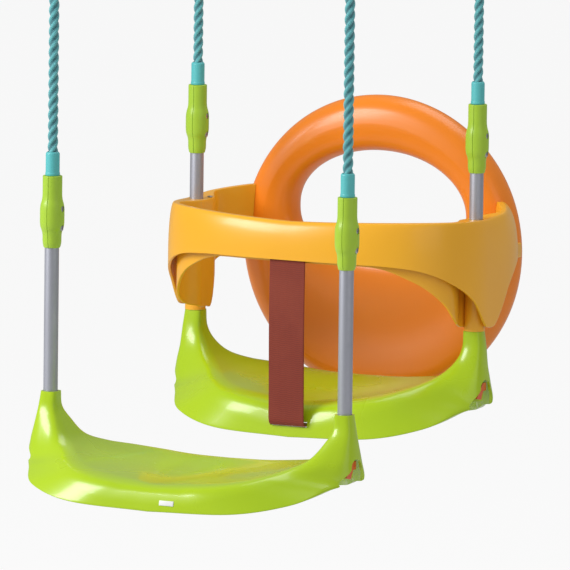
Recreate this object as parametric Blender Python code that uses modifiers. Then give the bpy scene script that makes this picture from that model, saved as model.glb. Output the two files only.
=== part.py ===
"""Baby swing set: a cradle swing with guard, round back and crotch strap, and a plain seat swing.

Metres, +Z up. The front of both swings faces -Y. The origin is on the beam's underside,
midway between the two hangers of the baby swing, so everything hangs below z = 0.
"""
import math

import bmesh
import bpy
from mathutils import Matrix, Vector

# Small gaps between touching pieces
GAP = 0.0003

# Where each swing hangs: x and y of its middle, height of its post tops, post top to grip,
# how far its seat's rear edge and its lower edge lie below the post tops, how much lower its front
# edge is, and half a post's thickness at the top
BABY = {
    "name": "baby", "x": 0.0, "y": 0.0, "post_z": -0.710, "grip_up": 0.1906,
    "seat_top": 0.077, "seat_bottom": 0.126, "front_drop": 0.010, "post_half": 0.0117}
PLAIN = {
    "name": "plain", "x": 0.222, "y": -0.850, "post_z": -0.683, "grip_up": 0.165,
    "seat_top": 0.0745, "seat_bottom": 0.108, "front_drop": 0.006, "post_half": 0.0104}

# Beam hangers
PLATE_LENGTH = 0.080
PLATE_WIDTH = 0.040
PLATE_THICK = 0.004
EYE_WIRE_R = 0.004
EYE_HALF_WIDTH = 0.014
EYE_DROP = 0.036
EYE_BEND_R = 0.006
PLATE_HOLE_R = 0.0030
PLATE_HOLE_INSET = 0.012

# Ring and thimble
RING_R = 0.025
RING_WIRE_R = 0.0035
THIMBLE_INNER_R = 0.016
THIMBLE_WALL = 0.002
THIMBLE_WIDTH = 0.013

# Rope and its clamp
ROPE_R = 0.006
ROPE_EYE_LENGTH = 0.062
ROPE_TAIL_LENGTH = 0.030
CLAMP_LENGTH = 0.016
CLAMP_WALL = 0.002

# Sleeve on top of the grip
SLEEVE_R = 0.008
SLEEVE_LENGTH = 0.027
SLEEVE_CHAMFER = 0.0015

# Grip, measured up from its lower end
GRIP_COLLAR_R = 0.0108
GRIP_BULGE_R = 0.0140
GRIP_TOP_R = 0.0112
GRIP_CHAMFER = 0.0057
GRIP_COLLAR_LENGTH = 0.0116
GRIP_LOWER_TAPER = 0.0074
GRIP_BULGE_LENGTH = 0.0230
GRIP_UPPER_TAPER = 0.0086
GRIP_TOP_LENGTH = 0.0263
GRIP_SCREW_LOW = 0.0227
GRIP_SCREW_HIGH = 0.0448
GRIP_SCREW_SHANK_R = 0.0018
GRIP_SCREW_HEAD_R = 0.0035
GRIP_SCREW_HEAD_THICK = 0.0022
GRIP_SCREW_SUNK = 0.0006
ROPE_IN_GRIP = 0.0380

# Steel tube
TUBE_R = 0.00825
TUBE_WALL = 0.0015
TUBE_IN_GRIP = 0.0340
TUBE_BELOW_POST = 0.635
TUBE_CLEARANCE = 0.0003

# Seat
SEAT_HALF_LENGTH = 0.2045
POST_X = SEAT_HALF_LENGTH - 0.0195
SEAT_WALL = 0.0030
SEAT_TOP_POWER = 2.85
SEAT_FRONT = 0.129
SEAT_BACK = 0.093
SEAT_DISH = 0.006
SEAT_WATERFALL_R = 0.030
SEAT_BACK_EDGE_R = 0.009
SEAT_CORNER_R = 0.024
SEAT_FOOT_R = 0.003
SEAT_REAR_LIFT = 0.006
SEAT_RIM_OPENING = 0.016
SEAT_OPENING_SHARE = 0.7
POST_CAP = 0.016
BOSS_R = 0.0112

# Heights below the post tops as shares of a seat's depth, and the arch's reach to front and rear
BOSS_END = 0.667
ARCH_TOP = 0.455
ARCH_ROUND = 0.0110
ARCH_HALF_TOP = 0.0125
ARCH_FOOT = 0.69
ARCH_FOOT_FRONT = 0.034
ARCH_FOOT_REAR = 0.018
ARCH_Y = -0.0045

# Tube lock in each seat end
LOCK_PIN_R = 0.0040
LOCK_PIN = 0.530
LOCK_PLATE_THICK = 0.0025
LOCK_PLATE_REACH = 0.0215
LOCK_PLATE_FOOT = 0.0090
LOCK_PLATE_LOW = 0.0145

# Guard, heights measured up from the post tops
GUARD_HALF_WIDTH = SEAT_HALF_LENGTH
GUARD_FRONT = 0.140
GUARD_FRONT_POWER = 2.45
GUARD_BACK = 0.178
GUARD_BACK_POWER = 3.35
GUARD_END_X = GUARD_HALF_WIDTH - 0.0325
GUARD_WALL = 0.0035
GUARD_TOP_Z = 0.1345
GUARD_FRONT_RISE = 0.0040
GUARD_REAR_RISE = 0.0060
GUARD_SHOULDER_HEIGHT = 0.058
GUARD_SHOULDER_FRONT = 0.011
GUARD_SHOULDER_SIDE = 0.0062
GUARD_SHOULDER_REAR = 0.0180
GUARD_LIP = 0.006
GUARD_LAND = 0.0265
GUARD_LAND_REACH = 0.070
GUARD_LIP_DROP = 0.004
GUARD_DRAFT = 0.0015
GUARD_SLEEVE_R = 0.0125

# Round back
BACK_Z = 0.0745
BACK_Y = 0.137
BACK_R = GUARD_HALF_WIDTH - 0.0215
BACK_RIM_R = 0.034
BACK_HALF_DEPTH = 0.027
BACK_PANEL_HALF_DEPTH = 0.016
BACK_WALL = 0.003
HOLE_Z = 0.118
HOLE_HALF_WIDTH = BACK_R - 0.0700
HOLE_TOP_Z = 0.190
HOLE_BOTTOM_Z = 0.060
DRAIN_R = 0.003
BACK_SCREW_R = 0.0020
BACK_SCREW_HEAD_R = 0.0045
BACK_SCREW_HEAD_THICK = 0.0030
BACK_SCREW_X = BACK_R - 0.0170
BACK_SCREW_Z = 0.082
GUARD_BOSS_WIDTH = 0.032
GUARD_BOSS_HEIGHT = 0.018
GUARD_BOSS_DEPTH = 0.022

# Strap
STRAP_WIDTH = 0.046
STRAP_THICK = 0.0022
STRAP_TOP_Z = 0.114
STRAP_CLEARANCE = 0.0009
STRAP_SLOT_Z = 0.111
STRAP_SLOT_HEIGHT = 0.0085

# Small screws beside the tubes in the guard's land
SET_SCREW_R = 0.0016
SET_SCREW_HEAD_R = 0.0030
SET_SCREW_HEAD_THICK = 0.0012
SET_SCREW_LENGTH = 0.0100
SET_SCREW_IN = 0.0095
SET_SCREW_BACK = 0.0175
SET_BOSS_R = 0.0035

ROUND_STEPS = 20
SEAT_STATIONS = 14

COLOURS = {
    "seat": (0.44, 0.62, 0.015),
    "grip": (0.33, 0.58, 0.03),
    "guard": (0.90, 0.40, 0.02),
    "back": (0.85, 0.22, 0.01),
    "sleeve": (0.10, 0.52, 0.55),
    "rope": (0.16, 0.50, 0.52),
    "steel": (0.62, 0.64, 0.70),
    "zinc": (0.55, 0.56, 0.58),
    "strap": (0.20, 0.020, 0.008),
    "lock": (0.70, 0.08, 0.01),
}
METALLIC = {"steel": 1.0, "zinc": 1.0}
MATERIALS = {}


def clear_scene():
    """Remove every object that the file starts with."""
    for obj in list(bpy.data.objects):
        bpy.data.objects.remove(obj, do_unlink=True)


def new_collection(name):
    """Make a collection and link it to the scene."""
    collection = bpy.data.collections.new(name)
    bpy.context.scene.collection.children.link(collection)
    return collection


def material(slot):
    """Return the slot's material, made on first use."""
    if slot not in MATERIALS:
        mat = bpy.data.materials.new(slot)
        mat.use_nodes = True
        shader = mat.node_tree.nodes["Principled BSDF"]
        shader.inputs["Base Color"].default_value = COLOURS[slot] + (1.0,)
        shader.inputs["Roughness"].default_value = 0.35
        shader.inputs["Metallic"].default_value = METALLIC.get(slot, 0.0)
        MATERIALS[slot] = mat
    return MATERIALS[slot]


def link(obj, collection):
    """Put an object in one collection only."""
    for old in list(obj.users_collection):
        old.objects.unlink(obj)
    collection.objects.link(obj)
    return obj


def from_bmesh(bm, name):
    """Turn a bmesh into an object in the scene's own collection."""
    mesh = bpy.data.meshes.new(name)
    bmesh.ops.recalc_face_normals(bm, faces=bm.faces)
    bm.to_mesh(mesh)
    bm.free()
    obj = bpy.data.objects.new(name, mesh)
    bpy.context.scene.collection.objects.link(obj)
    return obj


def baked(obj):
    """Return a plain mesh object with the evaluated shape of obj, which is removed."""
    depsgraph = bpy.context.evaluated_depsgraph_get()
    depsgraph.update()
    mesh = bpy.data.meshes.new_from_object(obj.evaluated_get(depsgraph))
    mesh.transform(obj.matrix_world)
    bm = bmesh.new()
    bm.from_mesh(mesh)
    bmesh.ops.remove_doubles(bm, verts=bm.verts, dist=0.000001)
    bmesh.ops.recalc_face_normals(bm, faces=bm.faces)
    bm.to_mesh(mesh)
    bm.free()
    name = obj.name
    bpy.data.objects.remove(obj, do_unlink=True)
    plain = bpy.data.objects.new(name, mesh)
    bpy.context.scene.collection.objects.link(plain)
    return plain


def combined(obj, other, operation):
    """Cut obj with other, or join or intersect them, and bake the result."""
    modifier = obj.modifiers.new(operation.lower(), "BOOLEAN")
    modifier.operation = operation
    modifier.solver = "EXACT"
    modifier.object = other
    bpy.context.view_layer.update()
    result = baked(obj)
    bpy.data.objects.remove(other, do_unlink=True)
    return result


def box(size, centre):
    """A box with its size applied."""
    bm = bmesh.new()
    bmesh.ops.create_cube(bm, size=1.0)
    bmesh.ops.scale(bm, vec=Vector(size), verts=bm.verts)
    bmesh.ops.translate(bm, vec=Vector(centre), verts=bm.verts)
    return from_bmesh(bm, "box")


def rod(radius, start, end, steps=ROUND_STEPS):
    """A cylinder between two points."""
    start = Vector(start)
    end = Vector(end)
    bm = bmesh.new()
    bmesh.ops.create_cone(
        bm, cap_ends=True, segments=steps, radius1=radius, radius2=radius, depth=(end - start).length)
    turn = (end - start).to_track_quat("Z", "X").to_matrix().to_4x4()
    bmesh.ops.transform(bm, matrix=Matrix.Translation((start + end) / 2) @ turn, verts=bm.verts)
    return from_bmesh(bm, "rod")


def turned(profile, x, y, steps=ROUND_STEPS):
    """A solid turned about a vertical axis from closed (radius, z) points, outer side downward."""
    bm = bmesh.new()
    verts = [bm.verts.new((r, 0.0, z)) for r, z in profile]
    for first, second in zip(verts, verts[1:] + verts[:1]):
        bm.edges.new((first, second))
    mesh = bpy.data.meshes.new("turned")
    bm.to_mesh(mesh)
    bm.free()
    obj = bpy.data.objects.new("turned", mesh)
    bpy.context.scene.collection.objects.link(obj)
    obj.location = (x, y, 0.0)
    screw = obj.modifiers.new("turn", "SCREW")
    screw.steps = steps
    screw.render_steps = steps
    screw.use_merge_vertices = True
    screw.merge_threshold = 0.00001
    bpy.context.view_layer.update()
    return baked(obj)


def wire(points, radius, cyclic=False, resolution=2):
    """A round wire or rope along a POLY spline, capped unless it is a ring."""
    curve = bpy.data.curves.new("wire", "CURVE")
    curve.dimensions = "3D"
    curve.bevel_depth = radius
    curve.bevel_resolution = resolution
    curve.use_fill_caps = not cyclic
    spline = curve.splines.new("POLY")
    spline.points.add(len(points) - 1)
    for point, place in zip(spline.points, points):
        point.co = (place[0], place[1], place[2], 1.0)
    spline.use_cyclic_u = cyclic
    obj = bpy.data.objects.new("wire", curve)
    bpy.context.scene.collection.objects.link(obj)
    bpy.context.view_layer.update()
    return baked(obj)


def loft(sections, closed=False):
    """A skin over closed sections of equal point counts, capped at both ends unless it is closed."""
    bm = bmesh.new()
    rows = [[bm.verts.new(point) for point in section] for section in sections]
    pairs = list(zip(rows, rows[1:]))
    if closed:
        pairs.append((rows[-1], rows[0]))
    for first, second in pairs:
        count = len(first)
        for i in range(count):
            j = (i + 1) % count
            bm.faces.new((first[i], first[j], second[j], second[i]))
    if not closed:
        bm.faces.new(rows[0])
        bm.faces.new(rows[-1])
    return from_bmesh(bm, "loft")


def smooth_value(keys, where):
    """Read a smooth curve through (place, value) keys."""
    last = len(keys) - 1
    i = 0
    while i < last - 1 and where > keys[i + 1][0]:
        i += 1
    place0, value0 = keys[i]
    place1, value1 = keys[i + 1]
    before = keys[max(i - 1, 0)]
    after = keys[min(i + 2, last)]
    share = (where - place0) / (place1 - place0)
    slope0 = (value1 - before[1]) / (place1 - before[0])
    slope1 = (after[1] - value0) / (after[0] - place0)
    span = place1 - place0
    a = 2 * share ** 3 - 3 * share ** 2 + 1
    b = share ** 3 - 2 * share ** 2 + share
    c = 3 * share ** 2 - 2 * share ** 3
    d = share ** 3 - share ** 2
    return a * value0 + b * span * slope0 + c * value1 + d * span * slope1


def keep(obj, name, slot, collection, smooth_angle=0.6):
    """Name a finished part, give it its material and collect it."""
    obj.name = name
    obj.data.name = name
    obj.data.materials.clear()
    obj.data.materials.append(material(slot))
    obj.data.shade_smooth()
    obj.data.set_sharp_from_angle(angle=smooth_angle)
    return link(obj, collection)


def hinge_z():
    """Height of the hinge line, the middle of the eye's straight bottom run."""
    return -(PLATE_THICK + EYE_DROP)


def ring_z():
    """Height of the hanging ring's centre."""
    return hinge_z() + EYE_WIRE_R + GAP - (RING_R - RING_WIRE_R)


def ring_bottom_rise():
    """How much higher the ring's wire lies at the thimble's edges than at its middle."""
    half = THIMBLE_WIDTH / 2
    return RING_R - math.sqrt(RING_R ** 2 - half ** 2)


def rope_eye_z():
    """Height of the centre of the rope's eye."""
    wire_top = ring_z() - RING_R + RING_WIRE_R + ring_bottom_rise()
    return wire_top + 2 * GAP - THIMBLE_INNER_R


def grip_bottom_z(swing):
    """Height of the grip's lower end."""
    return swing["post_z"] + swing["grip_up"]


def grip_levels():
    """Heights of the grip's profile above its lower end, with their radii."""
    steps = [
        (0.0, TUBE_R + 0.0012),
        (GRIP_CHAMFER, GRIP_COLLAR_R),
        (GRIP_COLLAR_LENGTH, GRIP_COLLAR_R),
        (GRIP_LOWER_TAPER, GRIP_BULGE_R),
        (GRIP_BULGE_LENGTH, GRIP_BULGE_R),
        (GRIP_UPPER_TAPER, GRIP_TOP_R),
        (GRIP_TOP_LENGTH, GRIP_TOP_R),
    ]
    levels = []
    height = 0.0
    for rise, radius in steps:
        height += rise
        levels.append((height, radius))
    return levels


def grip_length():
    """Length of the whole grip."""
    return grip_levels()[-1][0]


def hanger(swing, side, parts):
    """Steel plate with a welded wire eye and two screw holes."""
    x = swing["x"] + side * POST_X
    y = swing["y"]
    plate = box((PLATE_LENGTH, PLATE_WIDTH, PLATE_THICK), (x, y, -PLATE_THICK / 2))
    low = hinge_z()
    points = [(x - EYE_HALF_WIDTH, y, -PLATE_THICK / 2)]
    for turn in range(4):
        angle = math.radians(30 * turn)
        points.append((
            x - EYE_HALF_WIDTH + EYE_BEND_R * (1 - math.cos(angle)), y,
            low + EYE_BEND_R * (1 - math.sin(angle))))
    points += [(2 * x - px, py, pz) for px, py, pz in reversed(points)]
    result = combined(plate, wire(points, EYE_WIRE_R), "UNION")
    for end in (-1, 1):
        sx = x + end * (PLATE_LENGTH / 2 - PLATE_HOLE_INSET)
        hole = rod(PLATE_HOLE_R, (sx, y, -PLATE_THICK * 2), (sx, y, PLATE_THICK), 16)
        result = combined(result, hole, "DIFFERENCE")
    keep(result, f"{swing['name']}_hanger_{side_name(side)}", "zinc", parts)


def side_name(side):
    """Left is -X, right is +X."""
    return "left" if side < 0 else "right"


def ring(swing, side, parts):
    """Hanging ring, upright in the swing's plane of travel."""
    x = swing["x"] + side * POST_X
    points = []
    for i in range(ROUND_STEPS):
        angle = 2 * math.pi * i / ROUND_STEPS
        points.append((x, swing["y"] + RING_R * math.cos(angle), ring_z() + RING_R * math.sin(angle)))
    obj = wire(points, RING_WIRE_R, cyclic=True, resolution=1)
    keep(obj, f"{swing['name']}_ring_{side_name(side)}", "zinc", parts)


def eye_path(radius, straight):
    """Half of the teardrop outline round the rope's eye: (x, z) from its crown to its foot."""
    points = []
    for i in range(7):
        angle = math.radians(90 - 18 * i)
        points.append((radius * math.cos(angle), radius * math.sin(angle)))
    foot_x, foot_z = straight
    start = Vector(points[-1])
    for i in range(1, 4):
        share = i / 3
        ease = share * share * (3 - 2 * share)
        points.append((start.x + (foot_x - start.x) * ease, start.y + (foot_z - start.y) * share))
    return points


def thimble(swing, side, parts):
    """Bent steel band inside the rope's eye, open at its foot."""
    x = swing["x"] + side * POST_X
    z = rope_eye_z()
    outer = []
    inner = []
    for i in range(17):
        angle = math.radians(-36 + 252 * i / 16)
        for radius, ends in ((THIMBLE_INNER_R + THIMBLE_WALL, outer), (THIMBLE_INNER_R, inner)):
            ends.append((radius * math.cos(angle), radius * math.sin(angle)))
    outline = outer + inner[::-1]
    front = [(x + px, swing["y"] - THIMBLE_WIDTH / 2, z + pz) for px, pz in outline]
    back = [(px, swing["y"] + THIMBLE_WIDTH / 2, pz) for px, py, pz in front]
    obj = loft([front, back])
    keep(obj, f"{swing['name']}_thimble_{side_name(side)}", "zinc", parts)


def rope(swing, side, parts):
    """Rope from inside the grip up round its thimble and back down to a short tail."""
    x = swing["x"] + side * POST_X
    y = swing["y"]
    eye_z = rope_eye_z()
    loop_r = THIMBLE_INNER_R + THIMBLE_WALL + GAP + ROPE_R
    foot_z = eye_z - ROPE_EYE_LENGTH
    tail_x = 2 * ROPE_R + 2 * GAP
    bottom = grip_bottom_z(swing) + ROPE_IN_GRIP
    points = [(x, y, bottom)]
    straight = foot_z - bottom
    count = max(2, round(straight / (5 * ROPE_R)))
    for i in range(1, count + 1):
        points.append((x, y, bottom + straight * i / count))
    up = [(-px, pz) for px, pz in eye_path(loop_r, (0.0, -ROPE_EYE_LENGTH))]
    down = eye_path(loop_r, (tail_x, -ROPE_EYE_LENGTH))
    points += [(x + px, y, eye_z + pz) for px, pz in up[::-1][1:]]
    points += [(x + px, y, eye_z + pz) for px, pz in down[1:]]
    points.append((x + tail_x, y, foot_z - ROPE_TAIL_LENGTH))
    obj = wire(points, ROPE_R)
    z = grip_bottom_z(swing) + GRIP_SCREW_HIGH
    reach = 2 * GRIP_BULGE_R
    hole = rod(GRIP_SCREW_SHANK_R + GAP, (x - reach, y, z), (x + reach, y, z), 12)
    obj = combined(obj, hole, "DIFFERENCE")
    keep(obj, f"{swing['name']}_rope_{side_name(side)}", "rope", parts)


def rope_clamp(swing, side, parts):
    """Flat-oval metal ferrule pressed round both runs of the rope below the eye."""
    x = swing["x"] + side * POST_X
    y = swing["y"]
    top = rope_eye_z() - ROPE_EYE_LENGTH - ROPE_R / 2
    tail_x = 2 * ROPE_R + 2 * GAP

    def oval(radius, z):
        points = []
        for i in range(20):
            angle = 2 * math.pi * i / 20
            shift = tail_x if math.cos(angle) > 0 else 0.0
            points.append((x + shift + radius * math.cos(angle), y + radius * math.sin(angle), z))
        return points

    outside = loft([oval(ROPE_R + GAP + CLAMP_WALL, top - CLAMP_LENGTH), oval(ROPE_R + GAP + CLAMP_WALL, top)])
    inside = loft([oval(ROPE_R + GAP, top - 2 * CLAMP_LENGTH), oval(ROPE_R + GAP, top + CLAMP_LENGTH)])
    obj = combined(outside, inside, "DIFFERENCE")
    keep(obj, f"{swing['name']}_rope_clamp_{side_name(side)}", "zinc", parts)


def rope_sleeve(swing, side, parts):
    """Turquoise sleeve round the rope, standing on the grip."""
    x = swing["x"] + side * POST_X
    low = grip_bottom_z(swing) + grip_length() + GAP
    high = low + SLEEVE_LENGTH
    bore = ROPE_R + GAP
    profile = [
        (bore, high), (SLEEVE_R - SLEEVE_CHAMFER, high), (SLEEVE_R, high - SLEEVE_CHAMFER),
        (SLEEVE_R, low), (bore, low)]
    obj = turned(profile, x, swing["y"], 20)
    keep(obj, f"{swing['name']}_rope_sleeve_{side_name(side)}", "sleeve", parts)


def grip(swing, side, parts):
    """Two moulded half shells round the tube's top and the rope's end, and their two screws."""
    x = swing["x"] + side * POST_X
    y = swing["y"]
    base = grip_bottom_z(swing)
    tube_bore = TUBE_R + TUBE_CLEARANCE
    rope_bore = ROPE_R + GAP
    levels = grip_levels()
    outer = [(radius, base + height) for height, radius in reversed(levels)]
    top = base + levels[-1][0]
    step = base + TUBE_IN_GRIP + GAP
    profile = [(rope_bore, top)] + outer + [(tube_bore, base), (tube_bore, step), (rope_bore, step)]
    reach = 3 * GRIP_BULGE_R
    for name, half in (("head", 1), ("nut", -1)):
        shell = turned(profile, x, y)
        block = box((reach, reach, 4 * reach), (x + half * (reach / 2 + GAP / 2), y, base + reach))
        shell = combined(shell, block, "INTERSECT")
        for rise in (GRIP_SCREW_LOW, GRIP_SCREW_HIGH):
            z = base + rise
            end = x + (GRIP_BULGE_R if half > 0 else -(GRIP_BULGE_R - 0.002))
            hole = rod(GRIP_SCREW_SHANK_R + GAP, (x, y, z), (end + half * GAP, y, z), 12)
            shell = combined(shell, hole, "DIFFERENCE")
            if half > 0:
                seat = x + screw_face() - GRIP_SCREW_SUNK - GRIP_SCREW_HEAD_THICK
                well = rod(GRIP_SCREW_HEAD_R + GAP, (seat - GAP, y, z), (seat + reach, y, z), 16)
                shell = combined(shell, well, "DIFFERENCE")
        keep(shell, f"{swing['name']}_grip_{name}_half_{side_name(side)}", "grip", parts)
    for level, rise in (("low", GRIP_SCREW_LOW), ("high", GRIP_SCREW_HIGH)):
        z = base + rise
        seat = x + screw_face() - GRIP_SCREW_SUNK - GRIP_SCREW_HEAD_THICK
        shank = rod(GRIP_SCREW_SHANK_R, (x - GRIP_BULGE_R + 0.0024, y, z), (seat + 0.0005, y, z), 12)
        head = rod(GRIP_SCREW_HEAD_R, (seat, y, z), (seat + GRIP_SCREW_HEAD_THICK, y, z), 16)
        screw = combined(shank, head, "UNION")
        keep(screw, f"{swing['name']}_grip_screw_{side_name(side)}_{level}", "zinc", parts)


def screw_face():
    """Distance of the grip's screw face from its axis."""
    return GRIP_BULGE_R


def tube(swing, side, parts):
    """Steel tube from inside the grip down into the seat's post."""
    x = swing["x"] + side * POST_X
    y = swing["y"]
    top = grip_bottom_z(swing) + TUBE_IN_GRIP
    bottom = swing["post_z"] - TUBE_BELOW_POST * swing["seat_bottom"]
    inner = TUBE_R - TUBE_WALL
    profile = [(inner, top), (TUBE_R, top), (TUBE_R, bottom), (inner, bottom)]
    obj = turned(profile, x, y)
    reach = 2 * TUBE_R
    screw_z = grip_bottom_z(swing) + GRIP_SCREW_LOW
    pin_z = swing["post_z"] - LOCK_PIN * swing["seat_bottom"]
    for z, radius in ((screw_z, GRIP_SCREW_SHANK_R), (pin_z, LOCK_PIN_R)):
        obj = combined(obj, rod(radius + GAP, (x - reach, y, z), (x + reach, y, z), 16), "DIFFERENCE")
    keep(obj, f"{swing['name']}_tube_{side_name(side)}", "steel", parts)


def seat_keys(swing):
    """Key stations of the seat from post top (0) to middle (8).

    Each row: inner x and z, outer x and z, then front and back reach at the inner and outer side.
    """
    half = swing["post_half"]
    inner = POST_X - half
    post_out = POST_X + half * 0.96
    out = SEAT_HALF_LENGTH
    low = -swing["seat_bottom"]
    front = SEAT_FRONT
    back = SEAT_BACK

    def sitting(share):
        """Inner x and z at a share of the way from the middle to a post."""
        return inner * share, -swing["seat_top"] * (1 - share ** SEAT_TOP_POWER) ** (1 / SEAT_TOP_POWER)

    return [
        (inner, 0.0, post_out, 0.0, half, half, half * 0.92, half * 0.92),
        (inner * 0.994, low * 0.16, post_out + 0.0025, low * 0.16, half * 1.24, half * 1.15, half * 1.14, half * 1.08),
        (inner * 0.954, low * 0.29, out * 0.980, low * 0.34, front * 0.186, back * 0.204, front * 0.136, back * 0.161),
        (*sitting(0.877), out * 0.993, low * 0.50, front * 0.320, back * 0.323, front * 0.178, back * 0.204),
        (*sitting(0.773), out, low * 0.684, front * 0.500, back * 0.559, front * 0.208, back * 0.269),
        (*sitting(0.646), out * 0.920, low * 0.748, front * 0.715, back * 0.849, front * 0.412, back * 0.52),
        (*sitting(0.485), out * 0.785, low * 0.868, front * 0.868, back, front * 0.745, back * 0.90),
        (*sitting(0.265), out * 0.489, low * 0.968, front * 0.946, back, front * 0.965, back * 1.02),
        (*sitting(0.0), 0.0, low, front * 0.953, back, front, back * 1.02)]


def seat_section(swing, row, share, wall):
    """One closed section of the seat, with its corners rounded.

    share runs from 0 at the post to 1 at the middle; a wall above 0 gives the hollow's section.
    """
    in_x, in_z, out_x, out_z, front_in, back_in, front_out, back_out = row
    inner = Vector((in_x, in_z))
    outer = Vector((out_x, out_z))
    along = (outer - inner).normalized()
    opened = smooth_step((share - 0.36) / 0.14)
    depth = (outer - inner).length
    drop = swing["front_drop"] * smooth_step((share - 0.3) / 0.7)
    dish = SEAT_DISH * smooth_step((share - 0.3) / 0.5)
    small = swing["post_half"] * 0.75
    waterfall = small + (SEAT_WATERFALL_R - small) * smooth_step(share / 0.5)
    back_r = small + (SEAT_BACK_EDGE_R - small) * smooth_step(share / 0.7)
    corner_r = SEAT_CORNER_R + (SEAT_FOOT_R - SEAT_CORNER_R) * smooth_step((share - 0.40) / 0.16)
    lift = SEAT_REAR_LIFT * smooth_step((share - 0.5) / 0.2)
    start = wall
    end = depth - wall
    limit = 0.48 * (end - start - drop)
    corner_r = max(SEAT_FOOT_R, min(corner_r, limit, 0.95 * min(front_out, back_out)) - wall * 0.8)
    corners = [
        (start, back_in - wall, min(back_r - wall * 0.7, limit), 3),
        (start + drop, -(front_in - wall), min(waterfall - wall * 0.7, limit * 1.5), 6),
        (end, -(front_out - wall), min(corner_r, limit), 3),
        (end - lift, back_out - wall, min(corner_r, limit), 3),
    ]
    flat = rounded(corners, dish)
    section = []
    for w, y in flat:
        place = inner + along * w
        if wall and w > start + (end - start) * SEAT_OPENING_SHARE:
            place = place + Vector((0.0, -SEAT_RIM_OPENING * opened))
        section.append((place.x, y, place.y))
    return section


def smooth_step(share):
    """Ease from 0 to 1."""
    share = max(0.0, min(1.0, share))
    return share * share * (3 - 2 * share)


def rounded(corners, dish):
    """Round a closed outline's corners and sink the run between the first two by dish."""
    points = []
    count = len(corners)
    for i, (w, y, radius, steps) in enumerate(corners):
        here = Vector((w, y))
        before = Vector(corners[i - 1][:2])
        after = Vector(corners[(i + 1) % count][:2])
        to_before = (before - here).normalized()
        to_after = (after - here).normalized()
        start = here + to_before * radius
        end = here + to_after * radius
        for k in range(steps + 1):
            share = k / steps
            pull = (1 - share) ** 2 * start + 2 * share * (1 - share) * here + share ** 2 * end
            bulge = here * 0.18 + pull * 0.82 if 0 < k < steps else pull
            points.append((bulge.x, bulge.y))
        if i == 0:
            reach = (Vector(corners[1][:2]) - here).length - corners[1][2]
            for k in (1, 2):
                share = radius + (reach - radius) * k / 3
                sunk = dish * math.sin(math.pi * k / 3)
                place = here + to_after * share
                points.append((place.x + sunk, place.y))
    return points


def seat_solid(swing, wall):
    """The seat's outer body, or with a wall the hollow inside it."""
    keys = seat_keys(swing)
    last = len(keys) - 1
    steps = SEAT_STATIONS
    half = []
    for i in range(steps + 1):
        where = last * i / steps
        row = tuple(smooth_value([(k, keys[k][c]) for k in range(last + 1)], where) for c in range(8))
        if wall and row[1] > -POST_CAP:
            continue
        half.append(seat_section(swing, row, i / steps, wall))
    left = [[(-px, py, pz) for px, py, pz in section] for section in half]
    sections = left + half[-2::-1]
    x = swing["x"]
    y = swing["y"]
    z = swing["post_z"]
    return loft([[(x + px, y + py, z + pz) for px, py, pz in section] for section in sections])


def end_arch(swing, side):
    """Cutter for the arch in the seat's end wall."""
    y0 = swing["y"]
    z0 = swing["post_z"]
    top = -ARCH_TOP * swing["seat_bottom"]
    foot = -ARCH_FOOT * swing["seat_bottom"]
    outline = []
    for i in range(9):
        angle = math.pi * i / 8
        outline.append((ARCH_Y + ARCH_HALF_TOP * math.cos(angle), top - ARCH_ROUND * (1 - math.sin(angle))))
    outline += [
        (-ARCH_FOOT_FRONT, foot), (-ARCH_FOOT_FRONT, -swing["seat_bottom"]),
        (ARCH_FOOT_REAR, -swing["seat_bottom"]), (ARCH_FOOT_REAR, foot)]
    near = swing["x"] + side * (POST_X + 0.001)
    far = swing["x"] + side * (SEAT_HALF_LENGTH + 0.010)
    first = [(near, y0 + py, z0 + pz) for py, pz in outline]
    second = [(far, py, pz) for px, py, pz in first]
    return loft([first, second])


def seat(swing, parts):
    """Open-bottomed moulded seat with two posts, tube bosses and an arch in each end."""
    body = combined(seat_solid(swing, 0.0), seat_solid(swing, SEAT_WALL), "DIFFERENCE")
    y = swing["y"]
    z = swing["post_z"]
    boss_end = z - BOSS_END * swing["seat_bottom"]
    for side in (-1, 1):
        body = combined(body, end_arch(swing, side), "DIFFERENCE")
    for side in (-1, 1):
        x = swing["x"] + side * POST_X
        boss = rod(swing["post_half"] - 0.0005, (x, y, z - POST_CAP - 0.002), (x, y, boss_end))
        body = combined(body, boss, "UNION")
    for side in (-1, 1):
        x = swing["x"] + side * POST_X
        bore = rod(TUBE_R + TUBE_CLEARANCE, (x, y, boss_end - 0.020), (x, y, z + 0.010))
        body = combined(body, bore, "DIFFERENCE")
        pin_z = z - LOCK_PIN * swing["seat_bottom"]
        near = x - side * BOSS_R * 1.1
        far = x + side * BOSS_R * 1.1
        body = combined(body, rod(LOCK_PIN_R + GAP, (near, y, pin_z), (far, y, pin_z), 16), "DIFFERENCE")
    if swing is BABY:
        slot_z = z - STRAP_SLOT_Z
        cut = box((STRAP_WIDTH + 0.002, 0.030, STRAP_SLOT_HEIGHT), (swing["x"], y - SEAT_FRONT, slot_z))
        body = combined(body, cut, "DIFFERENCE")
    keep(body, f"{swing['name']}_seat", "seat", parts, 0.7)


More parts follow.
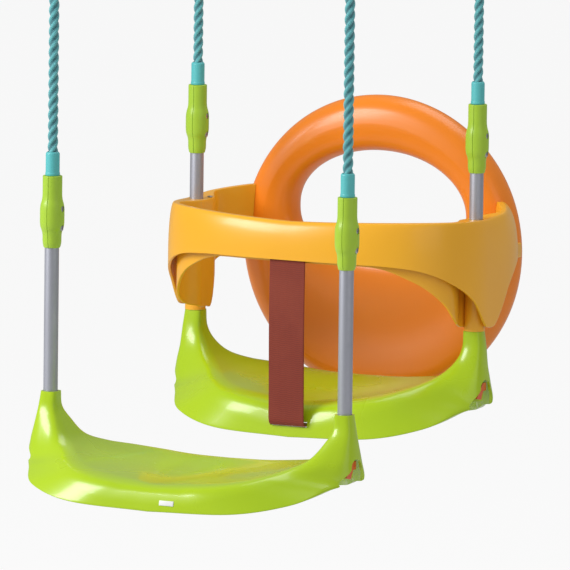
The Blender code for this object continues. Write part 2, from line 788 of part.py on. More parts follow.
def tube_lock(swing, side, parts):
    """Plate between the boss and the seat's end wall, with a pin through boss and tube."""
    x0 = swing["x"]
    y0 = swing["y"]
    z0 = swing["post_z"]
    inner = POST_X + swing["post_half"] - 0.0005 + GAP
    rim = LOCK_PIN_R + 0.0008
    pin_z = -LOCK_PIN * swing["seat_bottom"]
    low = pin_z - LOCK_PLATE_LOW
    outline = [
        (rim, pin_z + rim), (-rim, pin_z + rim), (-rim * 2, pin_z), (-LOCK_PLATE_REACH, low + 0.0025),
        (-LOCK_PLATE_FOOT, low), (-rim * 0.6, pin_z - rim), (rim, pin_z - rim)]
    near = x0 + side * inner
    far = x0 + side * (inner + LOCK_PLATE_THICK)
    plate = loft([[(px, y0 + py, z0 + pz) for py, pz in outline] for px in (near, far)])
    pin = rod(
        LOCK_PIN_R, (x0 + side * (POST_X - BOSS_R), y0, z0 + pin_z),
        (x0 + side * (inner + LOCK_PLATE_THICK / 2), y0, z0 + pin_z), 16)
    obj = combined(plate, pin, "UNION")
    keep(obj, f"{swing['name']}_tube_lock_{side_name(side)}", "lock", parts)


def guard_plan(turn):
    """Point on the guard's widest outline: turn 0 is the front, 1 the side, above 1 the back."""
    angle = turn * math.pi / 2
    if turn <= 1:
        power = 2 / GUARD_FRONT_POWER
        x = GUARD_HALF_WIDTH * math.sin(angle) ** power
        y = -GUARD_FRONT * max(0.0, math.cos(angle)) ** power
    else:
        power = 2 / GUARD_BACK_POWER
        x = GUARD_HALF_WIDTH * math.sin(angle) ** power
        y = GUARD_BACK * (-math.cos(angle)) ** power
    return Vector((x, y))


def guard_turns():
    """Places along the guard from its front middle to its rear end."""
    places = [0.0, 0.09, 0.19, 0.30, 0.41, 0.52, 0.63, 0.73, 0.82, 0.89, 0.945, 0.98, 1.0,
              1.008, 1.022, 1.045, 1.08, 1.13, 1.19, 1.26, 1.34, 1.43]
    return [turn for turn in places if turn <= 1 or guard_plan(turn).x >= GUARD_END_X]


def arch_z(point, front_keys, rear_keys):
    """Height of one of the guard's lower edges at a plan point.

    The keys are shares of the guard's front reach or of the back's place, and of its height.
    """
    ahead = point.y < GUARD_FRONT * front_keys[-1][0]
    keys = front_keys if ahead else rear_keys
    share = point.y / (GUARD_FRONT if ahead else BACK_Y)
    return GUARD_TOP_Z * smooth_value(keys, max(keys[0][0], min(keys[-1][0], share)))


def outer_edge_z(point):
    """Height of the outer skirt's lower edge."""
    front_keys = [(-1.0, 0.662), (-0.893, 0.651), (-0.736, 0.606), (-0.529, 0.491), (-0.257, 0.297),
                  (-0.071, 0.067), (0.0214, 0.0335)]
    rear_keys = [(0.0219, 0.0335), (0.1095, 0.041), (0.190, 0.097), (0.314, 0.223), (0.431, 0.357),
                 (0.657, 0.506), (0.949, 0.595)]
    return arch_z(point, front_keys, rear_keys)


def inner_edge_z(point):
    """Height of the inner skirt's lower edge, which hangs lower beside the front arch."""
    front_keys = [(-1.0, 0.632), (-0.920, 0.625), (-0.870, 0.597), (-0.800, 0.535), (-0.703, 0.454),
                  (-0.609, 0.364), (-0.525, 0.275), (-0.433, 0.156), (-0.332, 0.089), (-0.190, 0.056),
                  (-0.100, 0.036), (0.0214, 0.030)]
    rear_keys = [(0.0219, 0.030), (0.100, 0.034), (0.200, 0.270), (0.330, 0.345), (0.430, 0.385),
                 (0.660, 0.460), (0.949, 0.560)]
    return arch_z(point, front_keys, rear_keys)


def guard_profile(turn):
    """Rows of one guard station: (inset from the widest outline, z) from outer to inner lower edge."""
    point = guard_plan(turn)
    low = outer_edge_z(point)
    side = smooth_step(1.6 - 1.3 * abs(point.y) / GUARD_FRONT) if turn <= 1 else 1.0
    inset = GUARD_SHOULDER_FRONT + (GUARD_SHOULDER_SIDE - GUARD_SHOULDER_FRONT) * side
    behind = smooth_step((point.y / BACK_Y - 0.35) / 0.5)
    inset += (GUARD_SHOULDER_REAR - GUARD_SHOULDER_SIDE) * behind
    top = GUARD_TOP_Z + GUARD_FRONT_RISE * math.sin(math.pi * min(1.0, turn))
    top += GUARD_REAR_RISE * smooth_step(point.y / BACK_Y)
    shoulder = top - GUARD_SHOULDER_HEIGHT
    near_post = smooth_step(1.3 * (1 - abs(point.y) / GUARD_LAND_REACH))
    land = GUARD_LIP + (GUARD_LAND - GUARD_LIP) * near_post
    rows = []
    wall_top = max(low + 0.004, shoulder)
    for share in (0.0, 0.5):
        rows.append((0.0, low + (wall_top - low) * share))
    for degrees in (0, 28, 52, 72, 90):
        angle = math.radians(degrees)
        rows.append((inset * (1 - math.cos(angle)), wall_top + (top - wall_top) * math.sin(angle)))
    rows.append((inset + land, top))
    rows.append((inset + land + GUARD_DRAFT / 2, top - GUARD_LIP_DROP))
    inner_low = inner_edge_z(point)
    for share in (0.5, 1.0):
        rows.append((inset + land + GUARD_DRAFT, top - GUARD_LIP_DROP + (inner_low - top + GUARD_LIP_DROP) * share))
    return rows


def guard(swing, parts):
    """Guard: an upside-down channel of outer and inner skirt, with lands, sleeves and rear bosses."""
    turns = guard_turns()
    half = []
    for i, turn in enumerate(turns):
        point = guard_plan(turn)
        ahead = guard_plan(turn + 0.003) if turn < 1 else guard_plan(turn + 0.001)
        behind = guard_plan(turn - 0.003) if turn > 0 else Vector((-ahead.x, ahead.y))
        tangent = (ahead - behind).normalized()
        inward = Vector((-tangent.y, tangent.x))
        half.append([(point + inward * inset, z) for inset, z in guard_profile(turn)])
    z0 = swing["post_z"]
    grid = []
    for row in reversed(half[1:]):
        grid.append([(swing["x"] - p.x, swing["y"] + p.y, z0 + z) for p, z in row])
    for row in half:
        grid.append([(swing["x"] + p.x, swing["y"] + p.y, z0 + z) for p, z in row])
    bm = bmesh.new()
    verts = [[bm.verts.new(place) for place in row] for row in grid]
    for first, second in zip(verts, verts[1:]):
        for i in range(len(first) - 1):
            bm.faces.new((first[i], first[i + 1], second[i + 1], second[i]))
    skin = from_bmesh(bm, "guard")
    if faces_point_in(list(skin.data.polygons)[::len(half[0]) - 1], swing):
        skin.data.flip_normals()
    solid = skin.modifiers.new("wall", "SOLIDIFY")
    solid.thickness = GUARD_WALL
    solid.offset = -1.0
    solid.use_even_offset = True
    bpy.context.view_layer.update()
    body = baked(skin)
    for side in (-1, 1):
        x = swing["x"] + side * POST_X
        sleeve = rod(GUARD_SLEEVE_R, (x, swing["y"], z0 + GAP), (x, swing["y"], z0 + GUARD_TOP_Z - GUARD_WALL / 2))
        body = combined(body, sleeve, "UNION")
        screw_x, screw_y = set_screw_place(swing, side)
        under = rod(SET_BOSS_R, (screw_x, screw_y, z0 + GUARD_TOP_Z - SET_SCREW_LENGTH - 0.004),
                    (screw_x, screw_y, z0 + GUARD_TOP_Z - GUARD_WALL / 2), 16)
        body = combined(body, under, "UNION")
    for side in (-1, 1):
        reach = BACK_Y - BACK_HALF_DEPTH - GUARD_BOSS_DEPTH
        boss = box(
            (GUARD_BOSS_WIDTH, 2 * GUARD_BOSS_DEPTH, GUARD_BOSS_HEIGHT),
            (swing["x"] + side * (BACK_SCREW_X + 0.005), swing["y"] + reach + GUARD_BOSS_DEPTH, z0 + BACK_SCREW_Z))
        body = combined(body, boss, "UNION")
    body = combined(body, back_solid(swing, GAP * 1.5, 0.0), "DIFFERENCE")
    for side in (-1, 1):
        body = combined(body, back_screw_hole(swing, side), "DIFFERENCE")
        screw_x, screw_y = set_screw_place(swing, side)
        top = z0 + guard_land_z(screw_y - swing["y"])
        hole = rod(SET_SCREW_R + GAP, (screw_x, screw_y, top - SET_SCREW_LENGTH - GAP),
                   (screw_x, screw_y, top + 0.010), 12)
        body = combined(body, hole, "DIFFERENCE")
    for side in (-1, 1):
        x = swing["x"] + side * POST_X
        bore = rod(TUBE_R + TUBE_CLEARANCE, (x, swing["y"], z0 - 0.010), (x, swing["y"], z0 + GUARD_TOP_Z + 0.020))
        body = combined(body, bore, "DIFFERENCE")
    keep(body, f"{swing['name']}_guard", "guard", parts, 0.7)


def faces_point_in(polygons, swing):
    """Tell whether these faces point to the swing's middle."""
    middle = Vector((swing["x"], swing["y"], swing["post_z"]))
    total = 0.0
    for polygon in polygons:
        away = Vector(polygon.center) - middle
        away.z = 0.0
        total += away.normalized().dot(polygon.normal) * polygon.area
    return total < 0


def hole_reach(angle):
    """Distance from the hole's middle to its edge in a direction."""
    height = HOLE_TOP_Z - HOLE_Z if math.sin(angle) > 0 else HOLE_Z - HOLE_BOTTOM_Z
    power = 2.0 if math.sin(angle) > 0 else 2.6
    across = abs(math.cos(angle) / HOLE_HALF_WIDTH) ** power
    upward = abs(math.sin(angle) / height) ** power
    return (across + upward) ** (-1 / power)


def rim_reach(angle):
    """Distance from the hole's middle to the back's round outer edge in a direction."""
    rise = HOLE_Z - BACK_Z
    along = -rise * math.sin(angle)
    return along + math.sqrt(along ** 2 + BACK_R ** 2 - rise ** 2)


def back_solid(swing, grow, wall):
    """The back's outer body grown by grow, or with a wall the hollow inside it."""
    sections = []
    steps = 36
    change = grow - wall
    for i in range(steps):
        angle = 2 * math.pi * i / steps
        near = hole_reach(angle) - change
        far = rim_reach(angle) + change
        length = far - near
        rim = min(BACK_RIM_R + change, length / 2)
        panel = smooth_step((length - 2 * rim) / 0.060)
        flat_half = BACK_HALF_DEPTH + (BACK_PANEL_HALF_DEPTH - BACK_HALF_DEPTH) * panel + change
        rim_half = BACK_HALF_DEPTH + change
        middle = (near + far) / 2
        spots = [(near, 0.0), (near + 0.15 * rim, 0.60), (near + 0.45 * rim, 0.88), (near + rim, 1.0), (middle, 1.0)]
        front = []
        for reach, share in spots:
            front.append((reach, flat_half * share))
        outer = [(far - rim, 1.0), (far - 0.45 * rim, 0.85), (far - 0.15 * rim, 0.55), (far, 0.0)]
        for reach, share in outer:
            blend = rim_half * share if share < 1 else (rim_half + (flat_half - rim_half) * panel * 0.35)
            front.append((reach, blend))
        points = [(reach, -depth) for reach, depth in front]
        points += [(reach, depth) for reach, depth in front[-2:0:-1]]
        section = []
        for reach, depth in points:
            section.append((
                swing["x"] + reach * math.cos(angle), swing["y"] + BACK_Y + depth,
                swing["post_z"] + HOLE_Z + reach * math.sin(angle)))
        sections.append(section)
    return loft(sections, closed=True)


def back_screw_ends(swing):
    """Y of the screw's tip inside the guard's boss and of its head's seat in the back's rear."""
    tip = swing["y"] + BACK_Y - BACK_HALF_DEPTH - GUARD_BOSS_DEPTH + 0.004
    seat_y = swing["y"] + BACK_Y + BACK_HALF_DEPTH * 0.70
    return tip, seat_y


def back_screw_hole(swing, side):
    """Cutter for the screw from the back's rear into the guard's boss."""
    x = swing["x"] + side * BACK_SCREW_X
    z = swing["post_z"] + BACK_SCREW_Z
    tip, seat_y = back_screw_ends(swing)
    shank = rod(BACK_SCREW_R + GAP, (x, tip - GAP, z), (x, seat_y + 0.001, z), 12)
    well = rod(BACK_SCREW_HEAD_R + GAP, (x, seat_y - GAP, z), (x, seat_y + BACK_HALF_DEPTH, z), 16)
    return combined(shank, well, "UNION")


def back_screw(swing, side, parts):
    """Screw holding the back to the guard."""
    x = swing["x"] + side * BACK_SCREW_X
    z = swing["post_z"] + BACK_SCREW_Z
    tip, seat_y = back_screw_ends(swing)
    shank = rod(BACK_SCREW_R, (x, tip, z), (x, seat_y + 0.001, z), 12)
    head = rod(BACK_SCREW_HEAD_R, (x, seat_y, z), (x, seat_y + BACK_SCREW_HEAD_THICK, z), 16)
    keep(combined(shank, head, "UNION"), f"{swing['name']}_back_screw_{side_name(side)}", "zinc", parts)


def guard_land_z(y):
    """Height of the guard's land at a distance y behind the posts."""
    return GUARD_TOP_Z + GUARD_REAR_RISE * smooth_step(y / BACK_Y)


def set_screw_place(swing, side):
    """Middle of the small screw beside a tube."""
    return swing["x"] + side * (POST_X - SET_SCREW_IN), swing["y"] + SET_SCREW_BACK


def set_screw(swing, side, parts):
    """Small screw in the guard's land beside a tube."""
    x, y = set_screw_place(swing, side)
    top = swing["post_z"] + guard_land_z(y - swing["y"]) + 2 * GAP
    shank = rod(SET_SCREW_R, (x, y, top - SET_SCREW_LENGTH), (x, y, top + 0.0005), 12)
    head = rod(SET_SCREW_HEAD_R, (x, y, top), (x, y, top + SET_SCREW_HEAD_THICK), 12)
    keep(combined(shank, head, "UNION"), f"{swing['name']}_guard_screw_{side_name(side)}", "zinc", parts)


def back(swing, parts):
    """Hollow moulded round back with two screw posts and a drain hole at the bottom."""
    x = swing["x"]
    y = swing["y"] + BACK_Y
    hollow = back_solid(swing, 0.0, BACK_WALL)
    for side in (-1, 1):
        post_x = x + side * BACK_SCREW_X
        z = swing["post_z"] + BACK_SCREW_Z
        post = rod(BACK_SCREW_HEAD_R + BACK_WALL, (post_x, y - BACK_RIM_R, z), (post_x, y + BACK_RIM_R, z), 16)
        hollow = combined(hollow, post, "DIFFERENCE")
    bottom = swing["post_z"] + BACK_Z - BACK_R
    drain = rod(DRAIN_R, (x, y, bottom - 0.010), (x, y, bottom + 0.012), 12)
    hollow = combined(hollow, drain, "UNION")
    body = combined(back_solid(swing, 0.0, 0.0), hollow, "DIFFERENCE")
    for side in (-1, 1):
        body = combined(body, back_screw_hole(swing, side), "DIFFERENCE")
    keep(body, f"{swing['name']}_back", "back", parts, 0.7)


def strap(swing, parts):
    """Webbing from the guard's front inner wall down over the seat's edge and into its slot."""
    z0 = swing["post_z"]
    y0 = swing["y"]
    wall = -(GUARD_FRONT - GUARD_WALL - STRAP_CLEARANCE - STRAP_THICK / 2)
    path = [
        (wall + 0.0045, STRAP_TOP_Z), (wall + 0.0012, 0.098), (wall, 0.088), (wall - 0.001, 0.040),
        (wall - 0.001, 0.000), (wall, -0.045), (wall + 0.0012, -0.080),
        (wall + 0.0018, -STRAP_SLOT_Z + 0.010), (wall + 0.0034, -STRAP_SLOT_Z + 0.004),
        (wall + 0.0070, -STRAP_SLOT_Z + 0.0004), (wall + 0.0150, -STRAP_SLOT_Z), (wall + 0.0260, -STRAP_SLOT_Z)]
    sides = ([], [])
    for i, (py, pz) in enumerate(path):
        before = Vector(path[max(0, i - 1)])
        after = Vector(path[min(len(path) - 1, i + 1)])
        tangent = (after - before).normalized()
        across = Vector((tangent.y, -tangent.x)) * STRAP_THICK / 2
        sides[0].append((py + across.x, pz + across.y))
        sides[1].append((py - across.x, pz - across.y))
    outline = sides[0] + sides[1][::-1]
    rows = []
    for x in (-STRAP_WIDTH / 2, STRAP_WIDTH / 2):
        rows.append([(swing["x"] + x, y0 + py, z0 + pz) for py, pz in outline])
    keep(loft(rows), f"{swing['name']}_strap", "strap", parts)


def build():
    """Model both swings."""
    clear_scene()
    parts = new_collection("baby_swing_set")
    for swing in (BABY, PLAIN):
        for side in (-1, 1):
            hanger(swing, side, parts)
            ring(swing, side, parts)
            thimble(swing, side, parts)
            rope(swing, side, parts)
            rope_clamp(swing, side, parts)
            rope_sleeve(swing, side, parts)
            grip(swing, side, parts)
            tube(swing, side, parts)
            tube_lock(swing, side, parts)
        seat(swing, parts)
    guard(BABY, parts)
    back(BABY, parts)
    for side in (-1, 1):
        back_screw(BABY, side, parts)
        set_screw(BABY, side, parts)
    strap(BABY, parts)


build()
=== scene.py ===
"""Baby swing set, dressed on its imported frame.

A cradle swing with guard, round back and crotch strap hangs beside a plain seat swing, both on
laid ropes below beam hangers. Metres, +Z up. The swings face -Y, and z = 0 is the beam's underside.
"""
import logging
import math
from collections.abc import Callable, Sequence
from dataclasses import dataclass
from enum import Enum

import bpy
from mathutils import Matrix, Vector


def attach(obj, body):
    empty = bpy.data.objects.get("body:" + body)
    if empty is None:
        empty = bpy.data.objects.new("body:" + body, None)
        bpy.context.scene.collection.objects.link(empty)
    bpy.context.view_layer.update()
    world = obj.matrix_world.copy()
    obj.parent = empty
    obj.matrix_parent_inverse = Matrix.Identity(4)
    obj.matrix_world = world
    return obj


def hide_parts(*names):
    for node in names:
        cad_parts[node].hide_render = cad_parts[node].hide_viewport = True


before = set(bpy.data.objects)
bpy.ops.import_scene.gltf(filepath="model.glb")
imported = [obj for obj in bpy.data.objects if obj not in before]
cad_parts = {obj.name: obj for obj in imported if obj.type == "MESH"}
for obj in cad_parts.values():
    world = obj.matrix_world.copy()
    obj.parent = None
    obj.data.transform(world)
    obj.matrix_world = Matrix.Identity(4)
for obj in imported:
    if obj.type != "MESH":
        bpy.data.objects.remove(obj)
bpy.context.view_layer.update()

LOG = logging.getLogger("swing_set")

Flat = tuple[float, float]
Colour = tuple[float, float, float]
Row = list[Vector]
Obj = bpy.types.Object
Socket = bpy.types.NodeSocket

Y_AXIS = Vector((0.0, 1.0, 0.0))

# Gap between touching pieces, the same as in the CAD model
GAP = 0.0003
# Distance within which points are merged
MERGE = 0.000002


class Side(Enum):
    """Side of a swing as seen from its front, with its sign along X."""

    LEFT = -1
    RIGHT = 1

    @property
    def word(self) -> str:
        """Name used in piece names."""
        return self.name.lower()


class Join(Enum):
    """What a boolean does with its tool."""

    TAKE = "DIFFERENCE"
    ADD = "UNION"
    SHARE = "INTERSECT"


class Body(Enum):
    """Moving bodies of the model."""

    BEAM = "beam_hangers"
    BABY = "baby_swing"
    GUARD = "guard_and_back"
    PLAIN = "plain_swing"


@dataclass(frozen=True)
class Swing:
    """Place and main levels of one swing.

    seat_top and seat_bottom lie below the post tops, and grip_up above them. front_drop is how far
    the seat's front edge lies below its rear edge, and post_half a post's reach from its middle.
    """

    name: str
    body: Body
    x: float
    y: float
    post_z: float
    grip_up: float
    seat_top: float
    seat_bottom: float
    front_drop: float
    post_half: float

    @property
    def grip_z(self) -> float:
        """Height of the grip's lower end."""
        return self.post_z + self.grip_up

    def post_x(self, side: Side) -> float:
        """X of one of the two posts, tubes and ropes."""
        return self.x + side.value * POST_X


POST_X = 0.185
BABY = Swing(
    "baby", Body.BABY, x=0.0, y=0.0, post_z=-0.710, grip_up=0.1906, seat_top=0.077, seat_bottom=0.126,
    front_drop=0.010, post_half=0.0117)
PLAIN = Swing(
    "plain", Body.PLAIN, x=0.222, y=-0.850, post_z=-0.683, grip_up=0.165, seat_top=0.0745, seat_bottom=0.108,
    front_drop=0.006, post_half=0.0104)


def ease(share: float) -> float:
    """Ease smoothly from 0 to 1.

    Args:
        share: place between the two ends, cut off outside them.

    Returns:
        The eased share.
    """
    share = max(0.0, min(1.0, share))
    return share * share * (3 - 2 * share)


def through(keys: Sequence[Flat], where: float) -> float:
    """Read a smooth curve through (place, value) keys.

    Args:
        keys: places in rising order, each with its value.
        where: the place to read.

    Returns:
        The value there.
    """
    last = len(keys) - 1
    i = 0
    while i < last - 1 and where > keys[i + 1][0]:
        i += 1
    (place0, value0), (place1, value1) = keys[i], keys[i + 1]
    before = keys[max(i - 1, 0)]
    after = keys[min(i + 2, last)]
    span = place1 - place0
    share = (where - place0) / span
    slope0 = span * (value1 - before[1]) / (place1 - before[0])
    slope1 = span * (after[1] - value0) / (after[0] - place0)
    square = share * share
    cube = square * share
    return (
        (2 * cube - 3 * square + 1) * value0 + (cube - 2 * square + share) * slope0
        + (3 * square - 2 * cube) * value1 + (cube - square) * slope1)


def filleted(points: Sequence[Flat], radii: Sequence[float], steps: int = 5) -> list[Flat]:
    """Round the corners of a closed outline.

    Args:
        points: the outline's corners.
        radii: one radius per corner, 0 for a corner that stays.
        steps: steps round each rounded corner.

    Returns:
        The outline with steps + 1 points for each rounded corner.
    """
    result: list[Flat] = []
    count = len(points)
    for i, (point, radius) in enumerate(zip(points, radii)):
        if radius <= 0:
            result.append(point)
            continue
        here = Vector(point)
        before = Vector(points[i - 1]) - here
        after = Vector(points[(i + 1) % count]) - here
        start = here + before.normalized() * min(radius, 0.48 * before.length)
        end = here + after.normalized() * min(radius, 0.48 * after.length)
        for k in range(steps + 1):
            t = k / steps
            place = (1 - t) ** 2 * start + 2 * t * (1 - t) * here + t ** 2 * end
            result.append((place.x, place.y))
    return result


def arc(radius: float, start: float, sweep: float, steps: int) -> list[Flat]:
    """List points round an arc.

    Args:
        radius: its radius.
        start: angle of its first point, in degrees.
        sweep: angle that it covers, in degrees.
        steps: steps along it.

    Returns:
        steps + 1 points from its middle.
    """
    angles = [math.radians(start + sweep * k / steps) for k in range(steps + 1)]
    return [(radius * math.cos(angle), radius * math.sin(angle)) for angle in angles]


def densified(outline: Sequence[Flat], gap: float) -> list[Flat]:
    """Add points to the long edges of a closed outline.

    Args:
        outline: its corners.
        gap: wanted distance between points.

    Returns:
        The corners and the new points between them.
    """
    result = []
    for first, second in zip(outline, [*outline[1:], outline[0]]):
        count = max(1, round(math.dist(first, second) / gap))
        for k in range(count):
            share = k / count
            result.append(tuple(a + (b - a) * share for a, b in zip(first, second)))
    return result


def resampled(path: Sequence[Vector], gap: float) -> Row:
    """Space points evenly along a path.

    Args:
        path: the path's points.
        gap: wanted distance between points.

    Returns:
        Points along the path, its two ends among them.
    """
    lengths = [0.0]
    for first, second in zip(path, path[1:]):
        lengths.append(lengths[-1] + (second - first).length)
    count = max(2, round(lengths[-1] / gap))
    result = []
    at = 0
    for k in range(count + 1):
        goal = lengths[-1] * k / count
        while at < len(path) - 2 and lengths[at + 1] < goal:
            at += 1
        share = (goal - lengths[at]) / max(lengths[at + 1] - lengths[at], 1e-9)
        result.append(path[at].lerp(path[at + 1], min(1.0, share)))
    return result


def relaxed(path: Row, rounds: int) -> Row:
    """Even out the bends of a path whose ends stay.

    Args:
        path: evenly spaced points.
        rounds: how often each point moves to the mean of its neighbours.

    Returns:
        The eased path.
    """
    for _ in range(rounds):
        middle = [(a + 2 * b + c) / 4 for a, b, c in zip(path, path[1:], path[2:])]
        path = [path[0]] + middle + [path[-1]]
    return path


def closed_curve(points: Sequence[Vector], steps: int) -> Row:
    """Run a smooth closed curve through points.

    Args:
        points: the points in order.
        steps: points made for each given one.

    Returns:
        The curve's points.
    """
    result = []
    count = len(points)
    for i in range(count):
        p0, p1, p2, p3 = (points[(i + k) % count] for k in (-1, 0, 1, 2))
        t1 = math.sqrt((p1 - p0).length)
        t2 = t1 + math.sqrt((p2 - p1).length)
        t3 = t2 + math.sqrt((p3 - p2).length)
        for k in range(steps):
            t = t1 + (t2 - t1) * k / steps
            a1 = p0 * ((t1 - t) / t1) + p1 * (t / t1)
            a2 = p1 * ((t2 - t) / (t2 - t1)) + p2 * ((t - t1) / (t2 - t1))
            a3 = p2 * ((t3 - t) / (t3 - t2)) + p3 * ((t - t2) / (t3 - t2))
            b1 = a1 * ((t2 - t) / t2) + a2 * (t / t2)
            b2 = a2 * ((t3 - t) / (t3 - t1)) + a3 * ((t - t1) / (t3 - t1))
            result.append(b1 * ((t2 - t) / (t2 - t1)) + b2 * ((t - t1) / (t2 - t1)))
    return result


def pick(obj: Obj) -> Obj:
    """Select one object only and make it the active one."""
    bpy.ops.object.select_all(action="DESELECT")
    obj.select_set(True)
    bpy.context.view_layer.objects.active = obj
    return obj


def sealed(obj: Obj, fill: bool = False) -> Obj:
    """Merge an object's doubled points, close its ends and turn its faces outwards.

    Args:
        obj: a mesh object.
        fill: whether open ends get a face.

    Returns:
        The same object.
    """
    pick(obj)
    bpy.ops.object.mode_set(mode="EDIT")
    bpy.ops.mesh.select_mode(type="VERT")
    bpy.ops.mesh.select_all(action="SELECT")
    bpy.ops.mesh.remove_doubles(threshold=MERGE)
    if fill:
        bpy.ops.mesh.fill_holes(sides=0)
    bpy.ops.mesh.select_all(action="SELECT")
    bpy.ops.mesh.normals_make_consistent(inside=False)
    bpy.ops.mesh.select_all(action="DESELECT")
    bpy.ops.object.mode_set(mode="OBJECT")
    return obj


def skin(
        name: str, rows: Sequence[Sequence[Vector]], ring: bool = True, loop: bool = False,
        crown: Sequence[float] | None = None) -> Obj:
    """Shape a grid into a skin over rows of points.

    Args:
        name: the new object's name.
        rows: rows of equal length.
        ring: whether each row closes on itself.
        loop: whether the last row meets the first.
        crown: a value for each point, kept as an attribute of that name.

    Returns:
        The skin, with faces over its open ends where its rows are rings.
    """
    across = len(rows[0]) - (0 if ring else 1)
    along = len(rows) - (0 if loop else 1)
    bpy.ops.object.select_all(action="DESELECT")
    bpy.ops.mesh.primitive_grid_add(x_subdivisions=across, y_subdivisions=along, size=1.0)
    obj = bpy.context.active_object
    obj.name = name
    places: list[float] = []
    values: list[float] = []
    width = len(rows[0])
    for j in range(along + 1):
        row = j % len(rows)
        for i in range(across + 1):
            places.extend(rows[row][i % width])
            if crown is not None:
                values.append(crown[row * width + i % width])
    obj.data.vertices.foreach_set("co", places)
    if crown is not None:
        layer = obj.data.attributes.new("crown", "FLOAT", "POINT")
        layer.data.foreach_set("value", values)
    obj.data.update()
    return sealed(obj, fill=ring and not loop)


def turned(name: str, profile: Sequence[Flat], x: float, y: float, steps: int = 72) -> Obj:
    """Spin a closed profile about a vertical axis.

    Args:
        name: the new object's name.
        profile: (radius, z) points.
        x: x of the axis.
        y: y of the axis.
        steps: steps of the spin.

    Returns:
        The turned solid.
    """
    bpy.ops.object.select_all(action="DESELECT")
    bpy.ops.mesh.primitive_circle_add(vertices=len(profile), radius=1.0, fill_type="NOTHING")
    obj = bpy.context.active_object
    obj.name = name
    for vertex, (radius, z) in zip(obj.data.vertices, profile):
        vertex.co = (x + radius, y, z)
    bpy.ops.object.mode_set(mode="EDIT")
    bpy.ops.mesh.select_all(action="SELECT")
    bpy.ops.mesh.spin(steps=steps, angle=2 * math.pi, center=(x, y, 0.0), axis=(0.0, 0.0, 1.0))
    bpy.ops.object.mode_set(mode="OBJECT")
    return sealed(obj)


def settle(obj: Obj) -> Obj:
    """Put an object's place and turn into its mesh."""
    pick(obj)
    bpy.ops.object.transform_apply(location=True, rotation=True, scale=True)
    return obj


def rod(name: str, radius: float, start: Vector, end: Vector, steps: int = 48) -> Obj:
    """Add a round bar between two points.

    Args:
        name: the new object's name.
        radius: the bar's radius.
        start: middle of one end.
        end: middle of the other end.
        steps: sides of the bar.

    Returns:
        The bar.
    """
    bpy.ops.object.select_all(action="DESELECT")
    turn = (end - start).to_track_quat("Z", "X").to_euler()
    bpy.ops.mesh.primitive_cylinder_add(
        vertices=steps, radius=radius, depth=(end - start).length, location=(start + end) / 2, rotation=turn)
    obj = bpy.context.active_object
    obj.name = name
    return settle(obj)


def block(name: str, size: Sequence[float], centre: Sequence[float]) -> Obj:
    """Add a block.

    Args:
        name: the new object's name.
        size: its size along X, Y and Z.
        centre: its middle.

    Returns:
        The block.
    """
    bpy.ops.object.select_all(action="DESELECT")
    bpy.ops.mesh.primitive_cube_add(size=1.0, location=centre, scale=size)
    obj = bpy.context.active_object
    obj.name = name
    return settle(obj)


def combine(obj: Obj, tool: Obj, how: Join) -> Obj:
    """Cut, join or intersect an object with a tool, which is used up.

    Args:
        obj: the object that stays.
        tool: the other object.
        how: what the boolean does.

    Returns:
        The changed object.
    """
    modifier = obj.modifiers.new("join", "BOOLEAN")
    modifier.operation = how.value
    modifier.solver = "EXACT"
    modifier.object = tool
    pick(obj)
    bpy.ops.object.modifier_apply(modifier=modifier.name)
    bpy.data.objects.remove(tool, do_unlink=True)
    return obj


def drilled(obj: Obj, radius: float, start: Vector, end: Vector, steps: int = 32) -> Obj:
    """Cut a round hole.

    Args:
        obj: the object that is cut.
        radius: the hole's radius.
        start: middle of one end.
        end: middle of the other end.
        steps: sides of the hole.

    Returns:
        The changed object.
    """
    return combine(obj, rod("drill", radius, start, end, steps), Join.TAKE)


def bevelled(obj: Obj, width: float, steps: int = 2, degrees: float = 40.0) -> Obj:
    """Round an object's sharp edges.

    Args:
        obj: a mesh object.
        width: width of the rounding.
        steps: steps across it.
        degrees: edges sharper than this are rounded.

    Returns:
        The same object.
    """
    modifier = obj.modifiers.new("edges", "BEVEL")
    modifier.width = width
    modifier.segments = steps
    modifier.limit_method = "ANGLE"
    modifier.angle_limit = math.radians(degrees)
    modifier.use_clamp_overlap = True
    pick(obj)
    bpy.ops.object.modifier_apply(modifier=modifier.name)
    return obj


def pipe(
        name: str, path: Sequence[Vector], normal: Vector, radius: Callable[[float, float], float],
        steps: int, loop: bool = False, crowned: bool = False) -> Obj:
    """Skin a section along a path that lies in a plane.

    Args:
        name: the new object's name.
        path: the centreline.
        normal: the plane's normal.
        radius: reach at a distance along the path and an angle round it.
        steps: points round the path.
        loop: whether the path closes on itself.
        crowned: whether each point keeps its reach as the attribute crown.

    Returns:
        The pipe.
    """
    rows = []
    reaches: list[float] = []
    along = 0.0
    last = len(path) - 1
    for i, here in enumerate(path):
        ahead = path[(i + 1) % len(path)] if loop else path[min(i + 1, last)]
        behind = path[i - 1] if loop else path[max(i - 1, 0)]
        tangent = (ahead - behind).normalized()
        aside = tangent.cross(normal)
        row = []
        for k in range(steps):
            angle = 2 * math.pi * k / steps
            reach = radius(along, angle)
            reaches.append(reach)
            row.append(here + (normal * math.cos(angle) + aside * math.sin(angle)) * reach)
        rows.append(row)
        along += (path[(i + 1) % len(path)] - here).length
    return skin(name, rows, loop=loop, crown=reaches if crowned else None)


